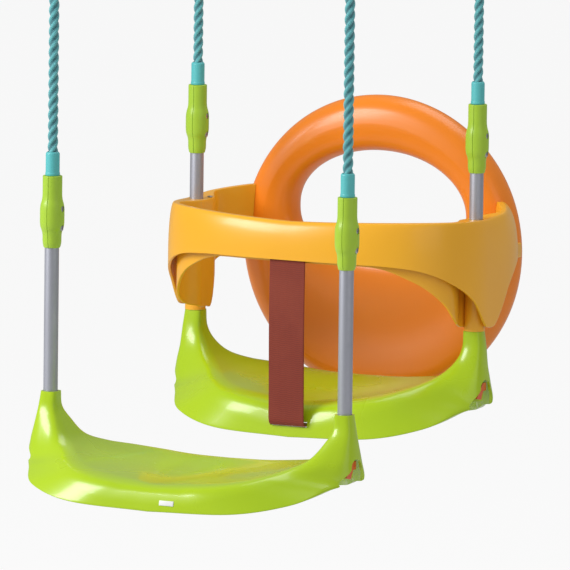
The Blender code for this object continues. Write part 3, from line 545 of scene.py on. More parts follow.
def dressed(
        obj: Obj, name: str, finish: "Finish", body: Body, nodes: Sequence[str],
        degrees: float = 35.0) -> Obj:
    """Name a finished piece, give it its finish and hang it on its body.

    Args:
        obj: the modelled piece.
        name: its name.
        finish: its finish.
        body: the body it moves with.
        nodes: the CAD nodes that it stands for.
        degrees: edges sharper than this stay crisp in shading.

    Returns:
        The piece.
    """
    obj.name = name
    obj.data.name = name
    obj.data.materials.clear()
    obj.data.materials.append(finish.material())
    pick(obj)
    bpy.ops.object.shade_smooth_by_angle(angle=math.radians(degrees))
    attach(obj, body.value)
    if nodes:
        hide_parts(*nodes)
    LOG.info("%s: %d faces on %s", name, len(obj.data.polygons), body.value)
    return obj


class Graph:
    """A node tree with short calls to add and wire its nodes."""

    def __init__(self, tree: bpy.types.NodeTree) -> None:
        """Take the tree to work in.

        Args:
            tree: the node tree.
        """
        self.tree = tree

    def add(self, kind: str, **values: object) -> bpy.types.Node:
        """Add a node.

        Args:
            kind: the node's type.
            values: its properties, by name.

        Returns:
            The node.
        """
        node = self.tree.nodes.new(kind)
        for name, value in values.items():
            setattr(node, name, value)
        return node

    def wire(self, source: Socket, goal: Socket) -> None:
        """Connect two sockets."""
        self.tree.links.new(source, goal)

    def maths(self, operation: str, *values: float | Socket) -> Socket:
        """Add a Math node.

        Args:
            operation: what it does.
            values: numbers or sockets for its inputs.

        Returns:
            Its output.
        """
        node = self.add("ShaderNodeMath", operation=operation)
        for socket, value in zip(node.inputs, values):
            if isinstance(value, Socket):
                self.wire(value, socket)
            else:
                socket.default_value = value
        return node.outputs[0]

    def times(self, *values: float | Socket) -> Socket:
        """Multiply two values."""
        return self.maths("MULTIPLY", *values)

    def plus(self, *values: float | Socket) -> Socket:
        """Add two values."""
        return self.maths("ADD", *values)

    def place(self, kind: str) -> Socket:
        """Return the coordinates of one kind."""
        return self.add("ShaderNodeTexCoord").outputs[kind]

    def split(self, source: Socket) -> bpy.types.NodeOutputs:
        """Return the X, Y and Z of a vector."""
        node = self.add("ShaderNodeSeparateXYZ")
        self.wire(source, node.inputs[0])
        return node.outputs

    def noise(
            self, where: Socket, scale: float | Socket, detail: float = 2.0,
            roughness: float = 0.5) -> Socket:
        """Add a Noise Texture node.

        Args:
            where: the coordinates it reads.
            scale: its scale, a number or a socket.
            detail: its octaves.
            roughness: how strong the fine octaves are.

        Returns:
            Its factor output.
        """
        node = self.add("ShaderNodeTexNoise")
        self.wire(where, node.inputs["Vector"])
        if isinstance(scale, Socket):
            self.wire(scale, node.inputs["Scale"])
        else:
            node.inputs["Scale"].default_value = scale
        node.inputs["Detail"].default_value = detail
        node.inputs["Roughness"].default_value = roughness
        return node.outputs["Fac"]

    def span(
            self, value: Socket, low: float, high: float, to_low: float = 0.0,
            to_high: float = 1.0) -> Socket:
        """Map a value from one span to another and cut it off there.

        Args:
            value: the value's socket.
            low: start of the first span.
            high: end of the first span.
            to_low: start of the second span.
            to_high: end of the second span.

        Returns:
            The mapped value's socket.
        """
        node = self.add("ShaderNodeMapRange")
        self.wire(value, node.inputs["Value"])
        for name, number in (("From Min", low), ("From Max", high), ("To Min", to_low), ("To Max", to_high)):
            node.inputs[name].default_value = number
        return node.outputs["Result"]

    def mixed(
            self, share: Socket, first: Colour | Socket,
            second: Colour | Socket) -> Socket:
        """Mix two colours.

        Args:
            share: socket that gives the second colour's share.
            first: a colour or a colour's socket.
            second: the other one.

        Returns:
            The mixed colour's socket.
        """
        node = self.add("ShaderNodeMix", data_type="RGBA")
        self.wire(share, node.inputs[0])
        for socket, colour in ((node.inputs[6], first), (node.inputs[7], second)):
            if isinstance(colour, Socket):
                self.wire(colour, socket)
            else:
                socket.default_value = (*colour, 1.0)
        return node.outputs[2]


def new_group(
        name: str, inputs: dict[str, float | Colour],
        outputs: dict[str, str]) -> tuple[Graph, bpy.types.Node, bpy.types.Node]:
    """Start a shader node group.

    Args:
        name: the group's name.
        inputs: default of each input, a number or a colour.
        outputs: Float or Color for each output.

    Returns:
        The group's graph, its input node and its output node.
    """
    tree = bpy.data.node_groups.new(name, "ShaderNodeTree")
    for title, default in inputs.items():
        coloured = isinstance(default, tuple)
        kind = "NodeSocketColor" if coloured else "NodeSocketFloat"
        socket = tree.interface.new_socket(name=title, in_out="INPUT", socket_type=kind)
        socket.default_value = (*default, 1.0) if coloured else default
    for title, kind in outputs.items():
        tree.interface.new_socket(name=title, in_out="OUTPUT", socket_type="NodeSocket" + kind)
    graph = Graph(tree)
    return graph, graph.add("NodeGroupInput"), graph.add("NodeGroupOutput")


class Effects:
    """Surface effects that several finishes share, each a node group made on first use."""

    _made: dict[str, bpy.types.NodeTree] = {}

    @classmethod
    def get(cls, name: str) -> bpy.types.NodeTree:
        """Return the group of one effect.

        Args:
            name: weathering, moulding or brushing.

        Returns:
            Its node tree.
        """
        if name not in cls._made:
            cls._made[name] = getattr(cls, "_" + name)()
        return cls._made[name]

    @staticmethod
    def _weathering() -> bpy.types.NodeTree:
        """Colour drift, rubbed edges, fine scratches and dust, as a colour and a roughness."""
        group, start, end = new_group(
            "weathering",
            {"Colour": (0.5, 0.5, 0.5), "Deep": (0.3, 0.3, 0.3), "Rubbed": (0.7, 0.7, 0.7), "Roughness": 0.3,
             "Wear": 0.3, "Dust": 0.1},
            {"Colour": "Color", "Roughness": "Float"})
        where = group.place("Object")
        drift = group.span(group.noise(where, 9.0, 3.0), 0.35, 0.70)
        colour = group.mixed(group.times(drift, 0.35), start.outputs["Colour"], start.outputs["Deep"])
        edges = group.span(group.add("ShaderNodeNewGeometry").outputs["Pointiness"], 0.53, 0.60)
        patches = group.span(group.noise(where, 60.0, 4.0), 0.42, 0.62)
        rubbed = group.times(group.times(edges, patches), start.outputs["Wear"])
        colour = group.mixed(rubbed, colour, start.outputs["Rubbed"])
        long = group.add("ShaderNodeMapping")
        group.wire(where, long.inputs["Vector"])
        long.inputs["Rotation"].default_value = (0.4, 0.9, 0.7)
        long.inputs["Scale"].default_value = (26.0, 900.0, 900.0)
        scratches = group.span(group.noise(long.outputs["Vector"], 1.0, 2.0), 0.68, 0.76)
        scratches = group.times(scratches, group.span(group.noise(where, 21.0, 2.0), 0.50, 0.62))
        scratches = group.times(scratches, group.times(start.outputs["Wear"], 0.45))
        colour = group.mixed(scratches, colour, start.outputs["Rubbed"])
        upward = group.split(group.add("ShaderNodeNewGeometry").outputs["Normal"])
        lying = group.span(upward["Z"], 0.55, 1.0)
        film = group.span(group.noise(where, 34.0, 5.0, 0.65), 0.40, 0.75)
        dust = group.times(group.times(lying, film), start.outputs["Dust"])
        colour = group.mixed(dust, colour, (0.62, 0.58, 0.50))
        rough = group.plus(start.outputs["Roughness"], group.times(drift, 0.05))
        rough = group.plus(rough, group.times(rubbed, 0.20))
        rough = group.plus(rough, group.times(scratches, 0.40))
        rough = group.plus(rough, group.times(dust, 0.50))
        group.wire(colour, end.inputs["Colour"])
        group.wire(rough, end.inputs["Roughness"])
        return group.tree

    @staticmethod
    def _moulding() -> bpy.types.NodeTree:
        """Fine spark grain of a mould and the slow waves of shrinking plastic, as a height."""
        group, start, end = new_group(
            "moulding", {"Grain": 1500.0, "Fine": 0.3, "Waves": 1.0}, {"Height": "Float"})
        where = group.place("Object")
        grain = group.times(group.noise(where, start.outputs["Grain"], 2.0), start.outputs["Fine"])
        waves = group.times(group.noise(where, 13.0, 1.0), start.outputs["Waves"])
        group.wire(group.plus(grain, waves), end.inputs["Height"])
        return group.tree

    @staticmethod
    def _brushing() -> bpy.types.NodeTree:
        """Fine drawn lines along Z on a metal tube or round a wire, as a height from 0 to 1."""
        group, start, end = new_group("brushing", {"Along": 8.0, "Across": 1400.0}, {"Height": "Float"})
        place = group.split(group.place("Object"))
        stretched = group.add("ShaderNodeCombineXYZ")
        for axis in ("X", "Y"):
            group.wire(group.times(place[axis], start.outputs["Across"]), stretched.inputs[axis])
        group.wire(group.times(place["Z"], start.outputs["Along"]), stretched.inputs["Z"])
        group.wire(group.noise(stretched.outputs[0], 1.0, 3.0), end.inputs["Height"])
        return group.tree


def effect(graph: Graph, name: str, **values: object) -> bpy.types.Node:
    """Place a shared effect in a material.

    Args:
        graph: the material's graph.
        name: the effect.
        values: its inputs, by name.

    Returns:
        The group node.
    """
    node = graph.add("ShaderNodeGroup", node_tree=Effects.get(name))
    for title, value in values.items():
        node.inputs[title].default_value = (*value, 1.0) if isinstance(value, tuple) else value
    return node


def bump(graph: Graph, height: Socket, depth: float, shader: bpy.types.Node) -> None:
    """Raise a shader's surface by a height.

    Args:
        graph: the material's graph.
        height: the height's socket.
        depth: metres for a height of 1.
        shader: the shader whose normal is set.
    """
    node = graph.add("ShaderNodeBump")
    node.inputs["Strength"].default_value = 1.0
    node.inputs["Distance"].default_value = depth
    graph.wire(height, node.inputs["Height"])
    graph.wire(node.outputs["Normal"], shader.inputs["Normal"])


def new_material(name: str) -> tuple[bpy.types.Material, Graph, bpy.types.Node]:
    """Start a material.

    Args:
        name: its name.

    Returns:
        The material, its graph and its shader.
    """
    made = bpy.data.materials.new(name)
    made.use_nodes = True
    return made, Graph(made.node_tree), made.node_tree.nodes["Principled BSDF"]


@dataclass(frozen=True)
class Finish:
    """A finish: its record slot, and a material made on first use."""

    name: str
    slot: str

    def material(self) -> bpy.types.Material:
        """Return the material, made on first use."""
        found = bpy.data.materials.get(self.name)
        return found if found is not None else self.build()

    def build(self) -> bpy.types.Material:
        """Make the material."""
        raise NotImplementedError


@dataclass(frozen=True)
class Moulded(Finish):
    """Moulded plastic with a mould's grain, slight colour drift and rubbed edges."""

    colour: Colour
    deep: Colour
    rubbed: Colour
    roughness: float = 0.28
    coat: float = 0.25
    coat_roughness: float = 0.12
    grain: float = 1500.0
    fine: float = 0.02
    waves: float = 1.0
    wave_depth: float = 0.0008
    wear: float = 0.30
    dust: float = 0.05

    def build(self) -> bpy.types.Material:
        """Make the material."""
        made, graph, shader = new_material(self.name)
        surface = effect(
            graph, "weathering", Colour=self.colour, Deep=self.deep, Rubbed=self.rubbed,
            Roughness=self.roughness, Wear=self.wear, Dust=self.dust)
        graph.wire(surface.outputs["Colour"], shader.inputs["Base Color"])
        graph.wire(surface.outputs["Roughness"], shader.inputs["Roughness"])
        relief = effect(graph, "moulding", Grain=self.grain, Fine=self.fine, Waves=self.waves)
        bump(graph, relief.outputs["Height"], self.wave_depth, shader)
        shader.inputs["Coat Weight"].default_value = self.coat
        shader.inputs["Coat Roughness"].default_value = self.coat_roughness
        shader.inputs["IOR"].default_value = 1.49
        return made


@dataclass(frozen=True)
class Metal(Finish):
    """Bare or coated steel with drawn lines and dull patches."""

    colour: Colour
    deep: Colour
    roughness: float
    metallic: float = 1.0
    line_depth: float = 0.00002
    across: float = 1400.0
    along: float = 8.0
    patches: float = 45.0

    def build(self) -> bpy.types.Material:
        """Make the material."""
        made, graph, shader = new_material(self.name)
        where = graph.place("Object")
        cloud = graph.span(graph.noise(where, self.patches, 4.0, 0.6), 0.38, 0.68)
        surface = effect(
            graph, "weathering", Colour=self.colour, Deep=self.deep, Rubbed=self.colour,
            Roughness=self.roughness, Wear=0.5, Dust=0.04)
        colour = graph.mixed(graph.times(cloud, 0.4), surface.outputs["Colour"], self.deep)
        graph.wire(colour, shader.inputs["Base Color"])
        rough = graph.plus(surface.outputs["Roughness"], graph.times(cloud, 0.10))
        graph.wire(rough, shader.inputs["Roughness"])
        shader.inputs["Metallic"].default_value = self.metallic
        lines = effect(graph, "brushing", Along=self.along, Across=self.across)
        bump(graph, lines.outputs["Height"], self.line_depth, shader)
        return made


@dataclass(frozen=True)
class LaidRope(Finish):
    """Fibres of a laid rope, with painted shade in the grooves between its strands and yarns along each
    strand.

    The piece's UV map runs round the rope (u) and along it (v), and its attribute crown gives
    each point's distance from the middle.
    """

    colour: Colour
    # groove is the colour of the painted shade in the hollows between the strands
    groove: Colour
    light: Colour
    low: float
    high: float
    yarns: float = 66.0

    def build(self) -> bpy.types.Material:
        """Make the material."""
        made, graph, shader = new_material(self.name)
        crown = graph.add("ShaderNodeAttribute", attribute_name="crown").outputs["Fac"]
        # Painted shade: the mask below is 0 in the hollows between strands, which then take the dark groove
        # colour
        unshaded_crest = graph.span(crown, self.low, self.high)
        place = graph.split(graph.place("UV"))
        turn = graph.times(place["X"], self.yarns * 2 * math.pi)
        slip = graph.times(place["Y"], 26.0)
        yarn = graph.span(graph.maths("SINE", graph.plus(turn, slip)), -1.0, 1.0)
        where = graph.place("Object")
        fibre = graph.noise(where, 2600.0, 3.0, 0.7)
        colour = graph.mixed(unshaded_crest, self.groove, self.colour)
        colour = graph.mixed(graph.times(yarn, graph.times(fibre, 0.55)), colour, self.light)
        graph.wire(colour, shader.inputs["Base Color"])
        graph.wire(graph.span(fibre, 0.2, 0.8, 0.55, 0.80), shader.inputs["Roughness"])
        shader.inputs["Sheen Weight"].default_value = 0.25
        height = graph.plus(graph.times(yarn, 0.7), graph.times(fibre, 0.5))
        bump(graph, height, 0.00025, shader)
        return made


@dataclass(frozen=True)
class Webbing(Finish):
    """Flat woven strap with a herringbone of warp yarns.

    The piece's UV map gives metres across (u) and along (v).
    """

    colour: Colour
    deep: Colour
    light: Colour
    pick: float = 0.0016

    def build(self) -> bpy.types.Material:
        """Make the material."""
        made, graph, shader = new_material(self.name)
        place = graph.split(graph.place("UV"))
        across = graph.times(place["X"], 2 * math.pi / self.pick)
        along = graph.times(place["Y"], 2 * math.pi / (self.pick * 1.6))
        warp = graph.maths("SINE", across)
        wave = graph.maths("SINE", graph.times(place["X"], math.pi / (self.pick * 6)))
        zigzag = graph.times(graph.maths("ABSOLUTE", wave), 3.2)
        weft = graph.maths("SINE", graph.plus(along, zigzag))
        weave = graph.span(graph.plus(graph.times(warp, 0.6), weft), -1.6, 1.6)
        where = graph.place("Object")
        fuzz = graph.noise(where, 1900.0, 3.0, 0.7)
        worn = graph.span(graph.noise(where, 17.0, 4.0), 0.40, 0.72)
        colour = graph.mixed(weave, self.deep, self.colour)
        colour = graph.mixed(graph.times(worn, 0.30), colour, self.light)
        graph.wire(colour, shader.inputs["Base Color"])
        graph.wire(graph.span(fuzz, 0.2, 0.8, 0.60, 0.82), shader.inputs["Roughness"])
        shader.inputs["Sheen Weight"].default_value = 0.04
        shader.inputs["Sheen Roughness"].default_value = 0.40
        height = graph.plus(weave, graph.times(fuzz, 0.4))
        bump(graph, height, 0.00022, shader)
        return made


SEAT_GREEN = Moulded(
    "lime_seat_plastic", "seat", (0.430, 0.620, 0.006), (0.350, 0.570, 0.008), (0.56, 0.72, 0.08),
    roughness=0.26, coat=0.30, coat_roughness=0.08, fine=0.004, waves=0.35, dust=0.0, wear=0.15)
GRIP_GREEN = Moulded(
    "green_grip_plastic", "grip", (0.400, 0.610, 0.035), (0.300, 0.530, 0.030), (0.60, 0.74, 0.22),
    roughness=0.38, coat=0.10, fine=0.05, wave_depth=0.0004)
GUARD_AMBER = Moulded(
    "amber_guard_plastic", "guard", (0.930, 0.455, 0.018), (0.860, 0.380, 0.016), (0.96, 0.60, 0.10),
    roughness=0.30, coat=0.20, coat_roughness=0.12, fine=0.006, waves=0.6, dust=0.02, wear=0.2)
BACK_ORANGE = Moulded(
    "orange_back_plastic", "back", (0.930, 0.250, 0.008), (0.870, 0.215, 0.007), (0.95, 0.38, 0.06),
    roughness=0.32, coat=0.18, coat_roughness=0.14, fine=0.006, waves=0.6, dust=0.02, wear=0.2)
LOCK_ORANGE = Moulded(
    "orange_lock_plastic", "lock", (0.740, 0.110, 0.010), (0.600, 0.080, 0.010), (0.85, 0.30, 0.10),
    roughness=0.34, coat=0.15)
SLEEVE_TEAL = Moulded(
    "teal_sleeve_plastic", "sleeve", (0.105, 0.520, 0.530), (0.075, 0.430, 0.450), (0.35, 0.68, 0.68),
    roughness=0.40, coat=0.08, fine=0.05, wave_depth=0.0003)
LABEL_WHITE = Moulded(
    "white_blank_plate", "seat", (0.85, 0.86, 0.84), (0.78, 0.79, 0.77), (0.90, 0.90, 0.90),
    roughness=0.35, coat=0.10, wear=0.1, dust=0.0)
TUBE_STEEL = Metal(
    "satin_tube_steel", "steel", (0.50, 0.51, 0.57), (0.40, 0.41, 0.47), roughness=0.42, metallic=0.75)
ZINC = Metal(
    "zinc_plated_steel", "zinc", (0.58, 0.58, 0.58), (0.42, 0.42, 0.44), roughness=0.34,
    line_depth=0.00001, across=500.0, along=500.0, patches=220.0)
# The rope's second colour is painted shade for the hollows between its strands.
ROPE_TEAL = LaidRope(
    "teal_laid_rope", "rope", (0.115, 0.500, 0.530), (0.018, 0.150, 0.190), (0.30, 0.70, 0.72),
    low=0.0042, high=0.0058)
STRAP_BROWN = Webbing(
    "red_brown_webbing", "strap", (0.270, 0.032, 0.010), (0.150, 0.015, 0.006), (0.32, 0.055, 0.022))


@dataclass(frozen=True)
class CrossScrew:
    """Pan-head screw with a cross recess.

    dome is the domed share of the head, slot the recess's length and width as shares of head_r.
    """

    shank_r: float
    head_r: float
    head_thick: float
    dome: float = 0.45
    slot: Flat = (1.15, 0.26)
    slot_rise: float = 0.98

    def build(self, tip: Vector, seat: Vector) -> Obj:
        """Model the screw.

        Args:
            tip: end of its shank.
            seat: middle of the face that its head rests on.

        Returns:
            The screw.
        """
        length = (seat - tip).length
        dome = self.head_thick * self.dome
        rim = self.head_thick - dome
        profile = [(0.0, -length), (self.shank_r * 0.5, -length), (self.shank_r, -length + self.shank_r)]
        profile += [(self.shank_r, 0.0), (self.head_r, 0.0), (self.head_r, rim)]
        profile += [(self.head_r * across, rim + dome * up) for across, up in arc(1.0, 18, 72, 4)]
        obj = turned("screw", profile, 0.0, 0.0, 32)
        for long, wide in (self.slot, self.slot[::-1]):
            size = (long * self.head_r, wide * self.head_r, self.head_thick)
            obj = combine(obj, block("recess", size, (0.0, 0.0, self.head_thick * self.slot_rise)), Join.TAKE)
        turn = (seat - tip).normalized().to_track_quat("Z", "Y").to_matrix().to_4x4()
        obj.matrix_world = Matrix.Translation(seat) @ turn
        return settle(obj)


@dataclass
class OnPost:
    """Pieces that lie on the line of one post of a swing."""

    swing: Swing
    side: Side

    @property
    def x(self) -> float:
        """X of the post's line."""
        return self.swing.post_x(self.side)

    @property
    def y(self) -> float:
        """Y of the post's line."""
        return self.swing.y

    def at(self, z: float, aside: float = 0.0) -> Vector:
        """Return the point at height z of the post's line, or aside from it along X."""
        return Vector((self.x + aside, self.y, z))

    def dress(
            self, obj: Obj, title: str, finish: "Finish", node: str, degrees: float = 35.0,
            body: Body | None = None) -> Obj:
        """Finish a piece of this side.

        Args:
            obj: the modelled piece.
            title: its name without swing and side.
            finish: its finish.
            node: the CAD node that it stands for, without swing, with %s for the side.
            degrees: edges sharper than this stay crisp in shading.
            body: the body it moves with, if that isn't the swing's own.

        Returns:
            The piece.
        """
        word = self.side.word
        name = self.swing.name
        nodes = [f"{name}_{node % word}"]
        return dressed(obj, f"{name}_{title}_{word}", finish, body or self.swing.body, nodes, degrees)


@dataclass
class Suspension(OnPost):
    """Beam hanger, ring, thimble, laid rope with its clamp and the sleeve on the grip."""

    grip_length: float
    plate: tuple[float, float, float] = (0.080, 0.040, 0.004)
    plate_corner: float = 0.004
    plate_edge: float = 0.0006
    hole_r: float = 0.003
    hole_inset: float = 0.012
    eye_r: float = 0.004
    eye_half: float = 0.014
    eye_drop: float = 0.036
    eye_bend: float = 0.006
    ring_r: float = 0.025
    ring_wire_r: float = 0.0035
    weld_rise: float = 0.0002
    weld_place: float = 0.004
    weld_half: float = 0.0015
    thimble_r: float = 0.016
    thimble_wall: float = 0.002
    thimble_width: float = 0.013
    rope_r: float = 0.006
    rope_pitch: float = 0.036
    rope_sides: int = 42
    rope_step: float = 0.002
    strand_offset: float = 0.50
    groove: float = 0.70
    eye_length: float = 0.062
    tail_length: float = 0.030
    clamp_length: float = 0.016
    clamp_wall: float = 0.002
    clamp_squeeze: float = 0.00045
    squeeze_half: float = 0.004
    clamp_top: float = 0.5
    sleeve_r: float = 0.008
    sleeve_length: float = 0.027
    rope_in_grip: float = 0.038

    @property
    def hinge_z(self) -> float:
        """Height of the hinge line, the middle of the eye's straight run."""
        return -(self.plate[2] + self.eye_drop)

    @property
    def ring_z(self) -> float:
        """Height of the ring's middle."""
        return self.hinge_z + self.eye_r + GAP - (self.ring_r - self.ring_wire_r)

    @property
    def rope_eye_z(self) -> float:
        """Height of the middle of the rope's eye."""
        rise = self.ring_r - math.sqrt(self.ring_r ** 2 - (self.thimble_width / 2) ** 2)
        return self.ring_z - self.ring_r + self.ring_wire_r + rise + 2 * GAP - self.thimble_r

    @property
    def tail_x(self) -> float:
        """Distance between the rope's long run and its tail."""
        return 2 * self.rope_r + 2 * GAP

    def build(self) -> None:
        """Model everything above one grip."""
        self.dress(self.hanger(), "beam_hanger", ZINC, "hanger_%s", body=Body.BEAM)
        self.dress(self.ring(), "hanging_ring", ZINC, "ring_%s")
        thimble = self.dress(self.thimble(), "rope_thimble", ZINC, "thimble_%s")
        clamp = self.dress(self.clamp(), "rope_ferrule", ZINC, "rope_clamp_%s")
        self.dress(self.sleeve(), "teal_sleeve", SLEEVE_TEAL, "rope_sleeve_%s")
        path = self.rope_path()
        rope = pipe("rope", path, Y_AXIS, self.lay, self.rope_sides, crowned=True)
        self.dress(rope, "laid_rope", ROPE_TEAL, "rope_%s", 70.0)

    def hanger(self) -> Obj:
        """Return a steel plate with two holes and a welded wire eye."""
        length, width, thick = self.plate
        px = length / 2
        py = width / 2
        outline = filleted([(-px, -py), (px, -py), (px, py), (-px, py)], [self.plate_corner] * 4, 6)
        edge = self.plate_edge
        rows = []
        for z, inset in ((-thick, edge), (-thick + edge, 0.0), (-edge, 0.0), (0.0, edge)):
            across = 1 - 2 * inset / length
            deep = 1 - 2 * inset / width
            rows.append([Vector((self.x + px * across, self.y + py * deep, z)) for px, py in outline])
        plate = skin("plate", rows)
        for end in (-1, 1):
            aside = end * (length / 2 - self.hole_inset)
            plate = drilled(plate, self.hole_r, self.at(-2 * thick, aside), self.at(thick, aside))
        bend = [self.at(-thick / 2, -self.eye_half)]
        for px, pz in arc(self.eye_bend, 180, 90, 12):
            bend.append(self.at(self.hinge_z + self.eye_bend + pz, self.eye_bend + px - self.eye_half))
        bend += [Vector((2 * self.x - p.x, p.y, p.z)) for p in reversed(bend)]
        plate = combine(plate, pipe("eye", bend, Y_AXIS, lambda along, angle: self.eye_r, 28), Join.ADD)
        foot = self.eye_r
        bead = [(0.0, 0.0005), (0.0, -0.0022), (foot + 0.0001, -0.0022), (foot + 0.0007, -0.0009),
                (foot + 0.0022, -0.0002), (foot + 0.0024, 0.0005)]
        bead = [(radius, z - thick) for radius, z in bead]
        for end in (-1, 1):
            plate = combine(plate, turned("bead", bead, self.x + end * self.eye_half, self.y, 28), Join.ADD)
        return plate

    def ring(self) -> Obj:
        """Return the upright hanging ring with the small ridge of its weld."""
        round_path = arc(self.ring_r, 0, 360, 120)[:-1]
        path = [Vector((self.x, self.y + py, self.ring_z + pz)) for py, pz in round_path]

        def thickness(along: float, angle: float) -> float:
            """Return the wire's radius, a little more at the weld."""
            share = (along - self.weld_place) / self.weld_half
            return self.ring_wire_r + self.weld_rise * math.exp(-share ** 2)

        return pipe("ring", path, Vector((1, 0, 0)), thickness, 28, loop=True)

    def thimble(self) -> Obj:
        """Return the grooved steel band inside the rope's eye."""
        half = self.thimble_width / 2
        inner = self.thimble_r
        outer = inner + self.thimble_wall
        side = [(inner, half * 0.80), (inner + 0.0006, half)]
        side += [(outer + 0.0009, half), (outer + 0.0002, half * 0.72)]
        section = [(inner, -half * 0.80), *side, (outer, 0.0)]
        section += [(radius, -wide) for radius, wide in side[:0:-1]]
        section = filleted(section, [0.0005] * len(section), 3)
        rows = []
        for across, up in arc(1.0, -36, 252, 63):
            rows.append([Vector((self.x + radius * across, self.y + wide, self.rope_eye_z + radius * up))
                         for radius, wide in section])
        return skin("thimble", rows)

    def eye_half_path(self, foot_x: float) -> list[Flat]:
        """Trace half of the rope's eye from its crown to its foot.

        Args:
            foot_x: x of the foot from the eye's middle line.

        Returns:
            (x, z) points from the eye's middle.
        """
        points = arc(self.thimble_r + self.thimble_wall + GAP + self.rope_r, 90, -108, 36)
        x, z = points[-1]
        for k in range(1, 25):
            share = k / 24
            points.append((x + (foot_x - x) * ease(share), z + (-self.eye_length - z) * share))
        return points

    def rope_path(self) -> Row:
        """Return the rope's centreline from inside the grip round its thimble to its tail."""
        z = self.rope_eye_z
        path = [self.at(self.swing.grip_z + self.rope_in_grip), self.at(z - self.eye_length)]
        path += [self.at(z + pz, -px) for px, pz in reversed(self.eye_half_path(0.0))][1:]
        path += [self.at(z + pz, px) for px, pz in self.eye_half_path(self.tail_x)][1:]
        path.append(self.at(z - self.eye_length - self.tail_length, self.tail_x))
        return relaxed(resampled(path, self.rope_step), 6)

    def lay(self, along: float, angle: float) -> float:
        """Give the reach of the three laid strands.

        Args:
            along: distance along the rope.
            angle: angle round it.

        Returns:
            Distance from the rope's middle to its surface.
        """
        third = 2 * math.pi / 3
        phase = (angle - 2 * math.pi * along / self.rope_pitch) % third - third / 2
        offset = self.strand_offset * self.rope_r
        strand = self.rope_r - offset
        reach = offset * math.cos(phase) + math.sqrt(max(0.0, strand ** 2 - (offset * math.sin(phase)) ** 2))
        return max(reach, self.groove * self.rope_r)

    def clamp(self) -> Obj:
        """Return the pressed oval ferrule round both runs of the rope."""
        top = self.rope_eye_z - self.eye_length - self.rope_r * self.clamp_top
        low = top - self.clamp_length
        inner = self.rope_r + GAP
        outer = inner + self.clamp_wall
        corners = [(inner, low), (outer, low), (outer, top), (inner, top)]
        rows = []
        for radius, z in densified(filleted(corners, [0.0003, 0.0012, 0.0012, 0.0003], 4), 0.002):
            if radius > inner + 0.001:
                radius -= self.clamp_squeeze * math.exp(-((z - (low + top) / 2) / self.squeeze_half) ** 2)
            row = []
            for px, py in arc(radius, 3.75, 352.5, 47):
                aside = self.tail_x if px > 0 else 0.0
                row.append(Vector((self.x + aside + px, self.y + py, z)))
            rows.append(row)
        return skin("ferrule", rows, loop=True)

    def sleeve(self) -> Obj:
        """Return the teal sleeve with its chamfered top and small foot bead."""
        low = self.swing.grip_z + self.grip_length + GAP
        high = low + self.sleeve_length
        bore = self.rope_r + GAP
        outer = self.sleeve_r
        corners = [(bore, high), (outer - 0.0016, high), (outer, high - 0.0016), (outer, low + 0.0034),
                   (outer + 0.0004, low + 0.0028), (outer + 0.0004, low), (bore, low)]
        profile = filleted(corners, [0.0003, 0.0012, 0.0012, 0.0004, 0.0004, 0.0003, 0.0002], 4)
        return turned("sleeve", profile, self.x, self.y)


